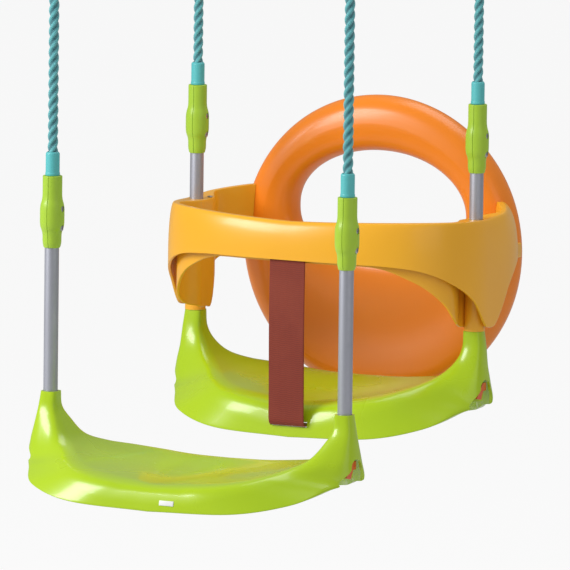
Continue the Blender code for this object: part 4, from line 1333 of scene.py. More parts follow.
@dataclass
class Grip(OnPost):
    """Two moulded half shells held by two cross screws, and the tube below them.

    profile lists the rise and radius of each step up the outside, from the lower end. tube_end
    and pin are shares of the seat's depth below the post tops.
    """

    profile: tuple[Flat, ...] = (
        (0.0, 0.00945), (0.0057, 0.0108), (0.0116, 0.0108), (0.0074, 0.0140), (0.0230, 0.0140),
        (0.0086, 0.0112), (0.0263, 0.0112))
    corner_radii: tuple[float, ...] = (
        0.0004, 0.0012, 0.006, 0.006, 0.006, 0.006, 0.003, 0.0010, 0.0003, 0.0002, 0.0002)
    bulge_r: float = 0.0140
    screws: tuple[tuple[str, float], ...] = (("low", 0.0227), ("high", 0.0448))
    screw: CrossScrew = CrossScrew(0.0018, 0.0035, 0.0022)
    screw_sunk: float = 0.0006
    far_wall: float = 0.0021
    rope_bore: float = 0.0063
    tube_r: float = 0.00825
    tube_wall: float = 0.0015
    tube_in_grip: float = 0.0340
    tube_end: float = 0.635
    pin: float = 0.530
    pin_r: float = 0.0040
    split: float = 0.0005

    @property
    def length(self) -> float:
        """Length of the grip."""
        return sum(rise for rise, _ in self.profile)

    @property
    def head_seat(self) -> float:
        """Distance along X from the grip's axis to the faces that the screw heads rest on."""
        return self.bulge_r - self.screw_sunk - self.screw.head_thick

    def build(self) -> None:
        """Model the grip, its screws and its tube."""
        for word, half in (("head", 1), ("nut", -1)):
            self.dress(self.shell(half), f"grip_{word}_shell", GRIP_GREEN, f"grip_{word}_half_%s")
        for word, rise in self.screws:
            z = self.swing.grip_z + rise
            tip = self.at(z, GAP + self.far_wall - self.bulge_r)
            screw = self.screw.build(tip, self.at(z, self.head_seat))
            self.dress(screw, f"cross_screw_{word}", ZINC, f"grip_screw_%s_{word}")
        self.dress(self.tube(), "steel_tube", TUBE_STEEL, "tube_%s")

    def shell(self, half: int) -> Obj:
        """Model one half shell with its rounded parting edges and screw holes.

        Args:
            half: 1 for the half with the screw heads, -1 for the other.

        Returns:
            The shell.
        """
        base = self.swing.grip_z
        bore = self.tube_r + GAP
        step = base + self.tube_in_grip + GAP
        height = base
        outside = []
        for rise, radius in self.profile:
            height += rise
            outside.append((radius, height))
        corners = [(self.rope_bore, height), *outside[::-1]]
        corners += [(bore, base), (bore, step), (self.rope_bore, step)]
        shell = turned("shell", filleted(corners, self.corner_radii, 6), self.x, self.y, 96)
        reach = 3 * self.bulge_r
        centre = self.at(base + reach, half * (reach + self.split) / 2)
        shell = combine(shell, block("half", (reach, reach, 4 * reach), centre), Join.SHARE)
        shell = bevelled(shell, 0.0004, 2, 60.0)
        for _, rise in self.screws:
            z = base + rise
            end = self.bulge_r if half > 0 else self.far_wall - self.bulge_r
            near = self.at(z, min(end, 0.0))
            shell = drilled(shell, self.screw.shank_r + GAP, near, self.at(z, max(end, 0.0)))
            if half > 0:
                start = self.at(z, self.head_seat - GAP)
                shell = drilled(shell, self.screw.head_r + GAP, start, self.at(z, end + reach), 40)
        return shell

    def tube(self) -> Obj:
        """Return the steel tube with its turned-in rims and pin holes."""
        top = self.swing.grip_z + self.tube_in_grip
        bottom = self.swing.post_z - self.tube_end * self.swing.seat_bottom
        pin_z = self.swing.post_z - self.pin * self.swing.seat_bottom
        inner = self.tube_r - self.tube_wall
        corners = [(inner, top), (self.tube_r, top), (self.tube_r, bottom), (inner, bottom)]
        tube = turned("tube", filleted(corners, [0.0005] * 4, 3), self.x, self.y, 72)
        reach = 2 * self.tube_r
        for z, radius in ((self.swing.grip_z + self.screws[0][1], self.screw.shank_r), (pin_z, self.pin_r)):
            tube = drilled(tube, radius + GAP, self.at(z, -reach), self.at(z, reach))
        return tube


@dataclass
class OnSwing:
    """Pieces that are placed from the middle between a swing's post tops."""

    swing: Swing

    def at(self, x: float, y: float, z: float) -> Vector:
        """Return the point at x, y, z from there."""
        return Vector((self.swing.x + x, self.swing.y + y, self.swing.post_z + z))


@dataclass
class Seat(OnSwing):
    """Open-bottomed moulded seat with two posts, tube bosses, end arches and tube locks.

    boss_end, arch_top, arch_foot and pin are shares of the seat's depth below the post tops.
    """

    wall: float = 0.0030
    half_length: float = 0.2045
    front: float = 0.129
    back: float = 0.093
    top_power: float = 2.85
    dish: float = 0.006
    waterfall_r: float = 0.030
    back_edge_r: float = 0.009
    corner_r: float = 0.024
    foot_r: float = 0.003
    rear_lift: float = 0.006
    rim_opening: float = 0.016
    opening_share: float = 0.7
    post_cap: float = 0.016
    boss_overlap: float = 0.002
    boss_r: float = 0.0112
    boss_end: float = 0.667
    bore_r: float = 0.00855
    pin: float = 0.530
    pin_bore_r: float = 0.0043
    arch_top: float = 0.455
    arch_round: float = 0.0110
    arch_half_top: float = 0.0125
    arch_foot: float = 0.69
    arch_reach: Flat = (0.034, 0.018)
    arch_y: float = -0.0045
    slot_z: float = 0.10965
    slot_size: tuple[float, float, float] = (0.048, 0.030, 0.0063)
    stations: int = 72
    lock_edge: float = 0.0005
    label_place: Flat = (0.0232, -0.0969)
    label_size: tuple[float, float, float] = (0.0180, 0.0016, 0.0058)

    def build(self) -> None:
        """Model the seat and dress its two locks."""
        swing = self.swing
        shell = combine(self.body(0.0), self.body(self.wall), Join.TAKE)
        end = -self.boss_end * swing.seat_bottom
        pin_z = -self.pin * swing.seat_bottom
        reach = self.boss_r * 1.1
        posts = [side.value * POST_X for side in Side]
        for side in Side:
            shell = combine(shell, self.arch(side), Join.TAKE)
        for x in posts:
            top = self.at(x, 0.0, -self.post_cap - self.boss_overlap)
            boss = rod("boss", swing.post_half - 0.0005, top, self.at(x, 0.0, end))
            shell = combine(shell, boss, Join.ADD)
        for x in posts:
            shell = drilled(shell, self.bore_r, self.at(x, 0.0, end - 0.02), self.at(x, 0.0, 0.01), 64)
            ends = [self.at(x + across, 0.0, pin_z) for across in (-reach, reach)]
            shell = drilled(shell, self.pin_bore_r, *ends)
        if swing.body is Body.BABY:
            cut = block("slot", self.slot_size, self.at(0.0, -self.front, -self.slot_z))
            shell = combine(shell, cut, Join.TAKE)
        dressed(shell, f"{swing.name}_seat_shell", SEAT_GREEN, swing.body, [f"{swing.name}_seat"], 38.0)
        if swing.body is Body.PLAIN:
            self.label(shell)
        for side in Side:
            self.lock(side)

    def keys(self) -> list[tuple[float, ...]]:
        """List the seat's key stations from a post's top to the middle.

        Returns:
            Rows of inner x and z, outer x and z, and reach of front and back, inner then outer.
        """
        half = self.swing.post_half
        inner = POST_X - half
        post = POST_X + half * 0.96
        out = self.half_length
        low = -self.swing.seat_bottom
        front = self.front
        back = self.back

        def sit(share: float) -> Flat:
            """Return inner x and z at a share of the way from the middle to a post."""
            return inner * share, -self.swing.seat_top * (1 - share ** self.top_power) ** (1 / self.top_power)

        return [
            (inner, 0.0, post, 0.0, half, half, half * 0.92, half * 0.92),
            (inner * 0.994, low * 0.16, post + 0.0025, low * 0.16,
             half * 1.24, half * 1.15, half * 1.14, half * 1.08),
            (inner * 0.954, low * 0.29, out * 0.980, low * 0.34,
             front * 0.186, back * 0.204, front * 0.136, back * 0.161),
            (*sit(0.877), out * 0.993, low * 0.50, front * 0.320, back * 0.323, front * 0.178, back * 0.204),
            (*sit(0.773), out, low * 0.684, front * 0.500, back * 0.559, front * 0.208, back * 0.269),
            (*sit(0.646), out * 0.920, low * 0.748, front * 0.715, back * 0.849, front * 0.412, back * 0.52),
            (*sit(0.485), out * 0.785, low * 0.868, front * 0.868, back, front * 0.745, back * 0.90),
            (*sit(0.265), out * 0.489, low * 0.968, front * 0.946, back, front * 0.965, back * 1.02),
            (*sit(0.0), 0.0, low, front * 0.953, back, front, back * 1.02)]

    def section(self, row: Sequence[float], share: float, wall: float) -> Row:
        """Trace one closed section.

        Args:
            row: the station's numbers, as keys lists them.
            share: 0 at the post, 1 in the middle.
            wall: 0 for the outside, else the wall inside which the hollow lies.

        Returns:
            The section's points.
        """
        inner = Vector((row[0], row[1]))
        outer = Vector((row[2], row[3]))
        front_in, back_in, front_out, back_out = row[4:8]
        along = (outer - inner).normalized()
        opened = ease((share - 0.36) / 0.14)
        drop = self.swing.front_drop * ease((share - 0.3) / 0.7)
        small = self.swing.post_half * 0.75
        fall = small + (self.waterfall_r - small) * ease(share / 0.5)
        back_r = small + (self.back_edge_r - small) * ease(share / 0.7)
        corner_r = self.corner_r + (self.foot_r - self.corner_r) * ease((share - 0.48) / 0.24)
        lift = self.rear_lift * ease((share - 0.5) / 0.2)
        end = (outer - inner).length - wall
        limit = 0.48 * (end - wall - drop)
        corner_r = max(self.foot_r, min(corner_r, limit, 0.95 * min(front_out, back_out)) - wall * 0.8)
        corner_r = min(corner_r, limit)
        room = 0.96 * (end - wall - drop) - corner_r
        corners = [
            (wall, back_in - wall, min(back_r - wall * 0.7, limit), 8),
            (wall + drop, -(front_in - wall), min(fall - wall * 0.7, limit * 1.5, room), 16),
            (end, -(front_out - wall), corner_r, 9),
            (end - lift, back_out - wall, corner_r, 9)]
        points = []
        for w, y in self.rounded(corners, self.dish * ease((share - 0.3) / 0.5)):
            place = inner + along * w
            if wall and w > wall + (end - wall) * self.opening_share:
                place = place + Vector((0.0, -self.rim_opening * opened))
            points.append(Vector((place.x, y, place.y)))
        return points

    @staticmethod
    def rounded(corners: Sequence[tuple[float, float, float, int]], dish: float) -> list[Flat]:
        """Round a section's corners, fill its straight runs and sink the sitting face.

        Args:
            corners: depth, y, radius and steps of each corner, the sitting face between the first two.
            dish: how far the sitting face sinks.

        Returns:
            The outline's points.
        """
        points: list[Flat] = []
        count = len(corners)
        for i, (w, y, radius, steps) in enumerate(corners):
            here = Vector((w, y))
            before = (Vector(corners[i - 1][:2]) - here).normalized()
            ahead = Vector(corners[(i + 1) % count][:2]) - here
            after = ahead.normalized()
            start = here + before * radius
            end = here + after * radius
            for k in range(steps + 1):
                t = k / steps
                place = (1 - t) ** 2 * start + 2 * t * (1 - t) * here + t ** 2 * end
                place = place.lerp(here, 0.18 * math.sin(math.pi * t) ** 2)
                points.append((place.x, place.y))
            following = here + ahead - after * corners[(i + 1) % count][2]
            fill = 16 if i == 0 else 7
            for k in range(1, fill):
                place = end.lerp(following, k / fill)
                sunk = dish * math.sin(math.pi * k / fill) if i == 0 else 0.0
                points.append((place.x + sunk, place.y))
        return points

    def body(self, wall: float) -> Obj:
        """Model the seat's outer body, or the hollow inside it.

        Args:
            wall: 0 for the outer body, else the wall's thickness.

        Returns:
            The solid.
        """
        keys = self.keys()
        last = len(keys) - 1
        half = []
        for i in range(self.stations + 1):
            where = last * i / self.stations
            row = [through([(k, keys[k][c]) for k in range(last + 1)], where) for c in range(8)]
            if wall and row[1] > -self.post_cap:
                continue
            half.append(self.section(row, i / self.stations, wall))
        left = [[Vector((-p.x, p.y, p.z)) for p in row] for row in half]
        middle = self.at(0.0, 0.0, 0.0)
        return skin("seat", [[p + middle for p in row] for row in left + half[-2::-1]])

    def arch(self, side: Side) -> Obj:
        """Return the cutter for the leaning arch in the wall at one end."""
        low = -self.swing.seat_bottom
        top = self.arch_top * low - self.arch_round
        foot = self.arch_foot * low
        ahead, behind = self.arch_reach
        outline = [(self.arch_y + self.arch_half_top * across, top + self.arch_round * up)
                   for across, up in arc(1.0, 0, 180, 24)]
        outline += [(-ahead, foot), (-ahead, low), (behind, low), (behind, foot)]
        reach = (POST_X + 0.001, self.half_length + 0.010)
        return skin("arch", [[self.at(side.value * x, y, z) for y, z in outline] for x in reach])

    def label(self, shell: Obj) -> None:
        """Lay a small blank plate on the front of the seat's shell."""
        x, z = self.label_place
        bpy.context.view_layer.update()
        _, place, normal, _ = shell.ray_cast(self.at(x, -2 * self.front, z), Y_AXIS)
        plate = bevelled(block("plate", self.label_size, (0.0, 0.0, 0.0)), 0.0006, 3)
        plate.matrix_world = Matrix.Translation(place) @ normal.to_track_quat("-Y", "Z").to_matrix().to_4x4()
        dressed(settle(plate), f"{self.swing.name}_blank_plate", LABEL_WHITE, self.swing.body, [])

    def lock(self, side: Side) -> None:
        """Give the CAD plate of one lock its finish and rounded edges."""
        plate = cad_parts[f"{self.swing.name}_tube_lock_{side.word}"]
        plate.data.materials.clear()
        plate.data.materials.append(LOCK_ORANGE.material())
        weld = plate.modifiers.new("weld", "WELD")
        weld.merge_threshold = MERGE
        edges = plate.modifiers.new("edges", "BEVEL")
        edges.width = self.lock_edge
        edges.segments = 2
        edges.limit_method = "ANGLE"
        edges.angle_limit = math.radians(45)
        LOG.info("%s dressed", plate.name)


@dataclass
class RoundBack(OnSwing):
    """Hollow ring-shaped back with a full lower panel and two screw posts inside."""

    z: float = 0.0745
    y: float = 0.137
    radius: float = 0.183
    rim_r: float = 0.034
    half_depth: float = 0.027
    panel_half_depth: float = 0.016
    wall: float = 0.003
    hole_z: float = 0.118
    hole_half: float = 0.113
    hole_top: float = 0.190
    hole_bottom: float = 0.060
    hole_powers: Flat = (2.0, 2.6)
    drain_r: float = 0.003
    screw: CrossScrew = CrossScrew(0.0020, 0.0045, 0.0030)
    screw_x: float = 0.166
    screw_z: float = 0.082
    boss_depth: float = 0.022
    sections: int = 144
    fill: int = 4

    def build(self) -> None:
        """Model the back and its two screws."""
        hollow = self.body(-self.wall)
        for side in Side:
            middle = self.at(side.value * self.screw_x, self.y, self.screw_z)
            reach = Y_AXIS * self.rim_r
            hollow = drilled(hollow, self.screw.head_r + self.wall, middle - reach, middle + reach, 48)
        body = combine(self.body(0.0), hollow, Join.TAKE)
        drain = [self.at(0.0, self.y, self.z - self.radius + rise) for rise in (-0.01, 0.012)]
        body = drilled(body, self.drain_r, *drain, 24)
        for side in Side:
            body = combine(body, self.screw_hole(side), Join.TAKE)
        name = self.swing.name
        dressed(body, f"{name}_round_back", BACK_ORANGE, Body.GUARD, [f"{name}_back"], 40.0)
        for side in Side:
            screw = self.screw.build(*self.screw_line(side))
            node = f"{name}_back_screw_{side.word}"
            dressed(screw, f"{name}_back_fixing_{side.word}", ZINC, Body.GUARD, [node])

    def hole_reach(self, angle: float) -> float:
        """Return the distance from the hole's middle to its edge at an angle."""
        above = math.sin(angle) > 0
        height = self.hole_top - self.hole_z if above else self.hole_z - self.hole_bottom
        power = self.hole_powers[0 if above else 1]
        across = abs(math.cos(angle) / self.hole_half) ** power
        return (across + abs(math.sin(angle) / height) ** power) ** (-1 / power)

    def rim_reach(self, angle: float) -> float:
        """Return the distance from the hole's middle to the round outer edge at an angle."""
        rise = self.hole_z - self.z
        along = -rise * math.sin(angle)
        return along + math.sqrt(along ** 2 + self.radius ** 2 - rise ** 2)

    def body(self, grow: float) -> Obj:
        """Model the back's outer body, grown or shrunk.

        Args:
            grow: distance added all round.

        Returns:
            The solid.
        """
        rows = []
        for i in range(self.sections):
            angle = 2 * math.pi * i / self.sections
            near = self.hole_reach(angle) - grow
            far = self.rim_reach(angle) + grow
            length = far - near
            rim = min(self.rim_r + grow, length / 2)
            panel = ease((length - 2 * rim) / 0.060)
            rim_half = self.half_depth + grow
            flat_half = self.half_depth + (self.panel_half_depth - self.half_depth) * panel + grow
            front = [(near + 0.15 * rim, 0.60 * flat_half), (near + 0.45 * rim, 0.88 * flat_half),
                     (near + rim, flat_half), ((near + far) / 2, flat_half),
                     (far - rim, rim_half + (flat_half - rim_half) * panel * 0.35),
                     (far - 0.45 * rim, 0.85 * rim_half), (far - 0.15 * rim, 0.55 * rim_half)]
            outline = [(near, 0.0)] + [(reach, -depth) for reach, depth in front]
            outline += [(far, 0.0)] + front[::-1]
            apart = [Vector((reach + 1e-6 * k, depth)) for k, (reach, depth) in enumerate(outline)]
            rows.append([self.at(p.x * math.cos(angle), self.y + p.y, self.hole_z + p.x * math.sin(angle))
                         for p in closed_curve(apart, self.fill)])
        return skin("back", rows, loop=True)

    def screw_line(self, side: Side) -> tuple[Vector, Vector]:
        """Return the tip of one screw and the middle of its head's seat."""
        x = side.value * self.screw_x
        tip = self.at(x, self.y - self.half_depth - self.boss_depth + 0.004, self.screw_z)
        return tip, self.at(x, self.y + self.half_depth * 0.70, self.screw_z)

    def screw_hole(self, side: Side) -> Obj:
        """Return the cutter for one screw."""
        tip, seat = self.screw_line(side)
        shank = rod("hole", self.screw.shank_r + GAP, tip - Y_AXIS * GAP, seat + Y_AXIS * 0.001, 32)
        well = rod("well", self.screw.head_r + GAP, seat - Y_AXIS * GAP, seat + Y_AXIS * self.half_depth, 40)
        return combine(shank, well, Join.ADD)


@dataclass
class Guard(OnSwing):
    """Rounded guard: an upside-down channel of outer and inner skirt, with lands and two sleeves.

    The edge rows give a lower edge's height as a share of top, at shares of the front reach ahead
    of the posts and of the back's distance behind them.
    """

    back: RoundBack
    half_width: float = 0.2045
    front: float = 0.140
    front_power: float = 2.45
    rear: float = 0.178
    rear_power: float = 3.35
    end_x: float = 0.172
    wall: float = 0.0035
    top: float = 0.1345
    front_rise: float = 0.0040
    rear_rise: float = 0.0060
    shoulder_height: float = 0.058
    shoulder_front: float = 0.011
    shoulder_side: float = 0.0062
    shoulder_rear: float = 0.0180
    lip: float = 0.006
    land: float = 0.0265
    land_reach: float = 0.070
    lip_drop: float = 0.004
    draft: float = 0.0015
    edge_r: float = 0.0012
    lip_r: float = 0.0018
    sleeve_r: float = 0.0125
    bore_r: float = 0.00855
    boss: Flat = (0.032, 0.018)
    boss_out: float = 0.005
    screw: CrossScrew = CrossScrew(0.0016, 0.0030, 0.0012)
    screw_length: float = 0.0100
    screw_place: Flat = (POST_X - 0.0095, 0.0175)
    screw_boss_r: float = 0.0035
    outer_front: tuple[Flat, ...] = (
        (-1.0, 0.662), (-0.893, 0.651), (-0.736, 0.606), (-0.529, 0.491), (-0.257, 0.297), (-0.071, 0.067),
        (0.0214, 0.0335))
    outer_rear: tuple[Flat, ...] = (
        (0.0219, 0.0335), (0.1095, 0.041), (0.190, 0.097), (0.314, 0.223), (0.431, 0.357), (0.657, 0.506),
        (0.949, 0.595))
    inner_front: tuple[Flat, ...] = (
        (-1.0, 0.632), (-0.920, 0.625), (-0.870, 0.597), (-0.800, 0.535), (-0.703, 0.454), (-0.609, 0.364),
        (-0.525, 0.275), (-0.433, 0.156), (-0.332, 0.089), (-0.190, 0.056), (-0.100, 0.036), (0.0214, 0.030))
    inner_rear: tuple[Flat, ...] = (
        (0.0219, 0.030), (0.100, 0.034), (0.200, 0.270), (0.330, 0.345), (0.430, 0.385), (0.660, 0.460),
        (0.949, 0.560))
    spacing: float = 0.0036
    last_turn: float = 1.43
    turns: int = 4000

    def build(self) -> None:
        """Model the guard and its two set screws."""
        band = self.band()
        back = self.back
        under = self.top - self.wall / 2
        aside, behind = self.screw_place
        face = self.land_z(behind)
        boss = (self.boss[0], 2 * back.boss_depth, self.boss[1])
        for side in Side:
            x = side.value * POST_X
            screw_x = side.value * aside
            sleeve = rod("sleeve", self.sleeve_r, self.at(x, 0.0, GAP), self.at(x, 0.0, under), 64)
            band = combine(band, sleeve, Join.ADD)
            low = self.at(screw_x, behind, self.top - self.screw_length - 0.004)
            post = rod("under", self.screw_boss_r, low, self.at(screw_x, behind, under), 32)
            band = combine(band, post, Join.ADD)
            boss_x = side.value * (back.screw_x + self.boss_out)
            centre = self.at(boss_x, back.y - back.half_depth, back.screw_z)
            band = combine(band, bevelled(block("boss", boss, centre), 0.002, 3), Join.ADD)
        band = combine(band, back.body(GAP * 1.5), Join.TAKE)
        screws = []
        for side in Side:
            x = side.value * POST_X
            screw_x = side.value * aside
            band = combine(band, back.screw_hole(side), Join.TAKE)
            low = self.at(screw_x, behind, face - self.screw_length - GAP)
            band = drilled(band, self.screw.shank_r + GAP, low, self.at(screw_x, behind, face + 0.01), 24)
            band = drilled(band, self.bore_r, self.at(x, 0.0, -0.01), self.at(x, 0.0, self.top + 0.02), 64)
            seat = self.at(screw_x, behind, face + 2 * GAP)
            screws.append(self.screw.build(seat - Vector((0.0, 0.0, self.screw_length)), seat))
        name = self.swing.name
        dressed(band, f"{name}_guard_band", GUARD_AMBER, Body.GUARD, [f"{name}_guard"], 40.0)
        for screw, side in zip(screws, Side):
            node = f"{name}_guard_screw_{side.word}"
            dressed(screw, f"{name}_land_screw_{side.word}", ZINC, Body.GUARD, [node])

    def plan(self, turn: float) -> Vector:
        """Return the point of the widest outline: turn 0 is the front, 1 the side, above 1 the rear."""
        angle = turn * math.pi / 2
        if turn <= 1:
            power = 2 / self.front_power
            reach = -self.front * max(0.0, math.cos(angle)) ** power
        else:
            power = 2 / self.rear_power
            reach = self.rear * (-math.cos(angle)) ** power
        return Vector((self.half_width * math.sin(angle) ** power, reach))

    def outline(self) -> list[tuple[Vector, Vector]]:
        """Return evenly spaced points from the front's middle to the rear end, with inward directions."""
        dense = [self.plan(0.0)]
        for k in range(1, self.turns + 1):
            point = self.plan(self.last_turn * k / self.turns)
            if point.y > 0 and point.x < self.end_x:
                break
            dense.append(point)
        points = resampled(dense, self.spacing)
        result = []
        for i, point in enumerate(points):
            ahead = points[min(i + 1, len(points) - 1)]
            behind = points[i - 1] if i else Vector((-ahead.x, ahead.y))
            tangent = (ahead - behind).normalized()
            result.append((point, Vector((-tangent.y, tangent.x))))
        return result

    def edge_z(self, y: float, front: Sequence[Flat], rear: Sequence[Flat]) -> float:
        """Return the height of a lower edge at a distance y behind the posts."""
        ahead = y < self.front * front[-1][0]
        keys = front if ahead else rear
        share = y / (self.front if ahead else self.back.y)
        return self.top * through(keys, max(keys[0][0], min(keys[-1][0], share)))

    def land_z(self, y: float) -> float:
        """Return the height of the land at a distance y behind the posts."""
        return self.top + self.rear_rise * ease(y / self.back.y)

    def section(self, point: Vector, turned_share: float) -> list[Flat]:
        """Trace one closed section of the band.

        Args:
            point: the plan point.
            turned_share: 0 at the front's middle, 1 at the side and behind it.

        Returns:
            (inset, z) points.
        """
        low = self.edge_z(point.y, self.outer_front, self.outer_rear)
        inner_low = self.edge_z(point.y, self.inner_front, self.inner_rear)
        side = ease(1.6 - 1.3 * abs(point.y) / self.front) if point.y < 0 else 1.0
        inset = self.shoulder_front + (self.shoulder_side - self.shoulder_front) * side
        inset += (self.shoulder_rear - self.shoulder_side) * ease((point.y / self.back.y - 0.35) / 0.5)
        top = self.land_z(point.y) + self.front_rise * math.sin(math.pi * turned_share)
        near = ease(1.3 * (1 - abs(point.y) / self.land_reach))
        reach = inset + self.lip + (self.land - self.lip) * near
        face = reach + self.draft
        shoulder = max(low + 0.004, top - self.shoulder_height)
        wall = self.wall
        upright = 12
        steps = 18
        flat = 6
        outer = [(0.0, low)]
        hollow = [(wall, low)]
        for k in range(1, upright + 1):
            outer.append((0.0, low + (shoulder - low) * k / upright))
            hollow.append((wall, low + (shoulder - low) * k / upright))
        for across, up in arc(1.0, 0, 90, steps)[1:]:
            outer.append((inset * (1 - across), shoulder + (top - shoulder) * up))
            hollow.append((inset - (inset - wall) * across, shoulder + (top - wall - shoulder) * up))
        for k in range(1, flat):
            outer.append((inset + (reach - inset) * k / flat, top))
            hollow.append((inset + (face - wall - inset) * k / flat, top - wall))
        outer += [(reach, top), (reach + self.draft / 2, top - self.lip_drop)]
        hollow.append((face - wall, top - wall))
        for k in range(1, upright + 1):
            outer.append((face, top - self.lip_drop + (inner_low - top + self.lip_drop) * k / upright))
            hollow.append((face - wall, top - wall + (inner_low - top + wall) * k / upright))
        corners = outer + hollow[::-1]
        radii = [0.0] * len(corners)
        for k in (0, len(outer) - 1, len(outer), len(corners) - 1):
            radii[k] = self.edge_r
        lip = upright + steps + flat
        radii[lip] = radii[lip + 1] = self.lip_r
        return filleted(corners, radii, 4)

    def band(self) -> Obj:
        """Return the band before anything is joined to it."""
        half = []
        for point, inward in self.outline():
            turned_share = 1.0
            if point.y < 0:
                turned_share = self.turn_of(point) / (math.pi / 2)
            section = self.section(point, turned_share)
            half.append([(point + inward * inset, z) for inset, z in section])
        rows = [[self.at(-p.x, p.y, z) for p, z in row] for row in half[:0:-1]]
        rows += [[self.at(p.x, p.y, z) for p, z in row] for row in half]
        return skin("guard", rows)

    def turn_of(self, point: Vector) -> float:
        """Return the outline's own angle at a front point, from 0 to a quarter turn."""
        across = (max(0.0, point.x) / self.half_width) ** (self.front_power / 2)
        return math.asin(min(1.0, across))


@dataclass
class CrotchStrap(OnSwing):
    """Woven strap from the guard's inner wall down over the seat's edge and into its slot.

    path lists y from the guard's wall and z from the post tops.
    """

    width: float = 0.046
    thick: float = 0.0022
    wall_y: float = -0.1345
    spacing: float = 0.0022
    path: tuple[Flat, ...] = (
        (0.0045, 0.114), (0.0012, 0.098), (0.0, 0.088), (-0.001, 0.040), (-0.001, 0.0), (0.0, -0.045),
        (0.0006, -0.080), (0.0008, -0.103), (0.0014, -0.108), (0.0042, -0.1109), (0.0150, -0.111),
        (0.0260, -0.111))

    def build(self) -> None:
        """Model the strap, whose UV map gives metres across it and along it."""
        swing = self.swing
        line = [Vector((0.0, swing.y + self.wall_y + y, swing.post_z + z)) for y, z in self.path]
        line = relaxed(resampled(line, self.spacing), 3)
        half = self.width / 2
        thick = self.thick / 2
        corners = [(-half, -thick), (half, -thick), (half, thick), (-half, thick)]
        section = densified(filleted(corners, [thick * 0.85] * 4, 4), 0.0023)
        rows = []
        last = len(line) - 1
        for i, here in enumerate(line):
            tangent = (line[min(i + 1, last)] - line[max(i - 1, 0)]).normalized()
            aside = Vector((0.0, tangent.z, -tangent.y))
            rows.append([here + Vector((swing.x + w, 0.0, 0.0)) + aside * t for w, t in section])
        strap = skin("strap", rows)
        layer = strap.data.uv_layers.active or strap.data.uv_layers.new(name="UVMap")
        for loop in strap.data.loops:
            place = strap.data.vertices[loop.vertex_index].co
            layer.data[loop.index].uv = (place.x - swing.x, place.z + place.y * 0.5)
        dressed(strap, f"{swing.name}_crotch_webbing", STRAP_BROWN, swing.body, [f"{swing.name}_strap"], 50.0)


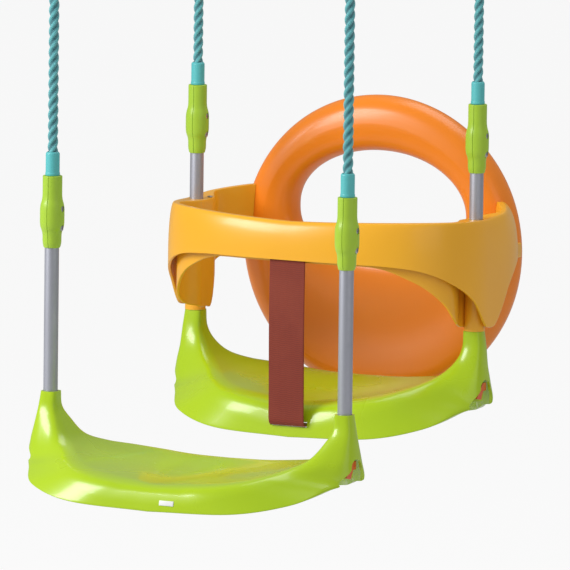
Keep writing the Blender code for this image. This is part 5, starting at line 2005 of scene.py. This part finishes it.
class Studio:
    """Pale floor, soft light and the camera at the photograph's angle."""

    floor_z: float = -1.190
    ambient: float = 0.52
    mirrored: float = 0.26
    azimuth: float = 25.0
    elevation: float = 8.0
    roll: float = 0.7
    distance: float = 15.0
    lens: float = 810.83
    target: tuple[float, float, float] = (0.1237, -0.4064, -0.6095)
    lamps: tuple[tuple[str, tuple[float, float, float], float, float], ...] = (
        ("key", (-1.9, -2.5, 0.9), 1.5, 84.0), ("fill", (2.6, -1.6, 0.2), 1.8, 6.0),
        ("top", (0.3, 1.0, 2.0), 1.8, 24.0))

    def build(self) -> None:
        """Set up floor, world, lamps and camera."""
        self.camera()
        self.world()
        self.floor()
        for lamp in self.lamps:
            self.lamp(*lamp)
        bpy.context.scene.view_settings.view_transform = "Standard"

    def camera(self) -> None:
        """Place the camera."""
        azimuth = math.radians(self.azimuth)
        elevation = math.radians(self.elevation)
        level = math.cos(elevation)
        toward = Vector((math.sin(azimuth) * level, -math.cos(azimuth) * level, math.sin(elevation)))
        right = Vector((math.cos(azimuth), math.sin(azimuth), 0.0))
        basis = Matrix((right, toward.cross(right), toward)).transposed().to_4x4()
        data = bpy.data.cameras.new("view")
        data.lens = self.lens
        data.sensor_width = 36.0
        data.clip_end = 200.0
        camera = bpy.data.objects.new("view", data)
        place = Matrix.Translation(Vector(self.target) + toward * self.distance)
        camera.matrix_world = place @ basis @ Matrix.Rotation(math.radians(self.roll), 4, "Z")
        bpy.context.scene.collection.objects.link(camera)
        bpy.context.scene.camera = camera

    def world(self) -> None:
        """Light the object evenly, white to the camera and dimmer in the reflections on plastic."""
        world = bpy.data.worlds.new("studio")
        bpy.context.scene.world = world
        world.use_nodes = True
        graph = Graph(world.node_tree)
        world.node_tree.nodes.clear()
        path = graph.add("ShaderNodeLightPath")
        seen = graph.maths("MAXIMUM", path.outputs["Is Camera Ray"], path.outputs["Is Transmission Ray"])
        strength = graph.plus(graph.times(seen, 1 - self.ambient), self.ambient)
        dimmed = graph.times(path.outputs["Is Glossy Ray"], self.ambient - self.mirrored)
        strength = graph.maths("SUBTRACT", strength, dimmed)
        background = graph.add("ShaderNodeBackground")
        background.inputs["Color"].default_value = (1.0, 1.0, 1.0, 1.0)
        graph.wire(strength, background.inputs["Strength"])
        output = graph.add("ShaderNodeOutputWorld")
        graph.wire(background.outputs[0], output.inputs["Surface"])

    def floor(self) -> None:
        """Lay a pale floor that keeps the object's shadow."""
        bpy.ops.object.select_all(action="DESELECT")
        bpy.ops.mesh.primitive_plane_add(size=120.0, location=(0.0, 0.0, self.floor_z))
        floor = bpy.context.active_object
        floor.name = "floor"
        made, graph, shader = new_material("pale_floor")
        tone = graph.span(graph.noise(graph.place("Object"), 3.0, 3.0), 0.3, 0.7)
        graph.wire(graph.mixed(tone, (0.60, 0.60, 0.60), (0.62, 0.62, 0.62)), shader.inputs["Base Color"])
        shader.inputs["Roughness"].default_value = 0.9
        glow = graph.add("ShaderNodeEmission")
        glow.inputs["Strength"].default_value = 1.0
        mix = graph.add("ShaderNodeMixShader")
        seen = graph.add("ShaderNodeLightPath").outputs["Is Camera Ray"]
        graph.wire(graph.times(seen, 0.9), mix.inputs[0])
        graph.wire(shader.outputs[0], mix.inputs[1])
        graph.wire(glow.outputs[0], mix.inputs[2])
        output = made.node_tree.nodes["Material Output"]
        graph.wire(mix.outputs[0], output.inputs["Surface"])
        floor.data.materials.append(made)

    def lamp(self, name: str, place: tuple[float, float, float], size: float, power: float) -> None:
        """Hang a soft square lamp that faces the swings.

        Args:
            name: its name.
            place: its place.
            size: its side.
            power: its power in watts.
        """
        data = bpy.data.lights.new(name, "AREA")
        data.size = size
        data.energy = power
        lamp = bpy.data.objects.new(name, data)
        lamp.location = place
        lamp.rotation_euler = (Vector(self.target) - Vector(place)).to_track_quat("-Z", "Y").to_euler()
        bpy.context.scene.collection.objects.link(lamp)


def main() -> None:
    """Build the studio and both swings."""
    logging.basicConfig(level=logging.INFO, format="%(name)s: %(message)s")
    Studio().build()
    for swing in (BABY, PLAIN):
        for side in Side:
            grip = Grip(swing, side)
            Suspension(swing, side, grip.length).build()
            grip.build()
        Seat(swing).build()
    back = RoundBack(BABY)
    back.build()
    Guard(BABY, back).build()
    CrotchStrap(BABY).build()


if __name__ == "__main__":
    main()
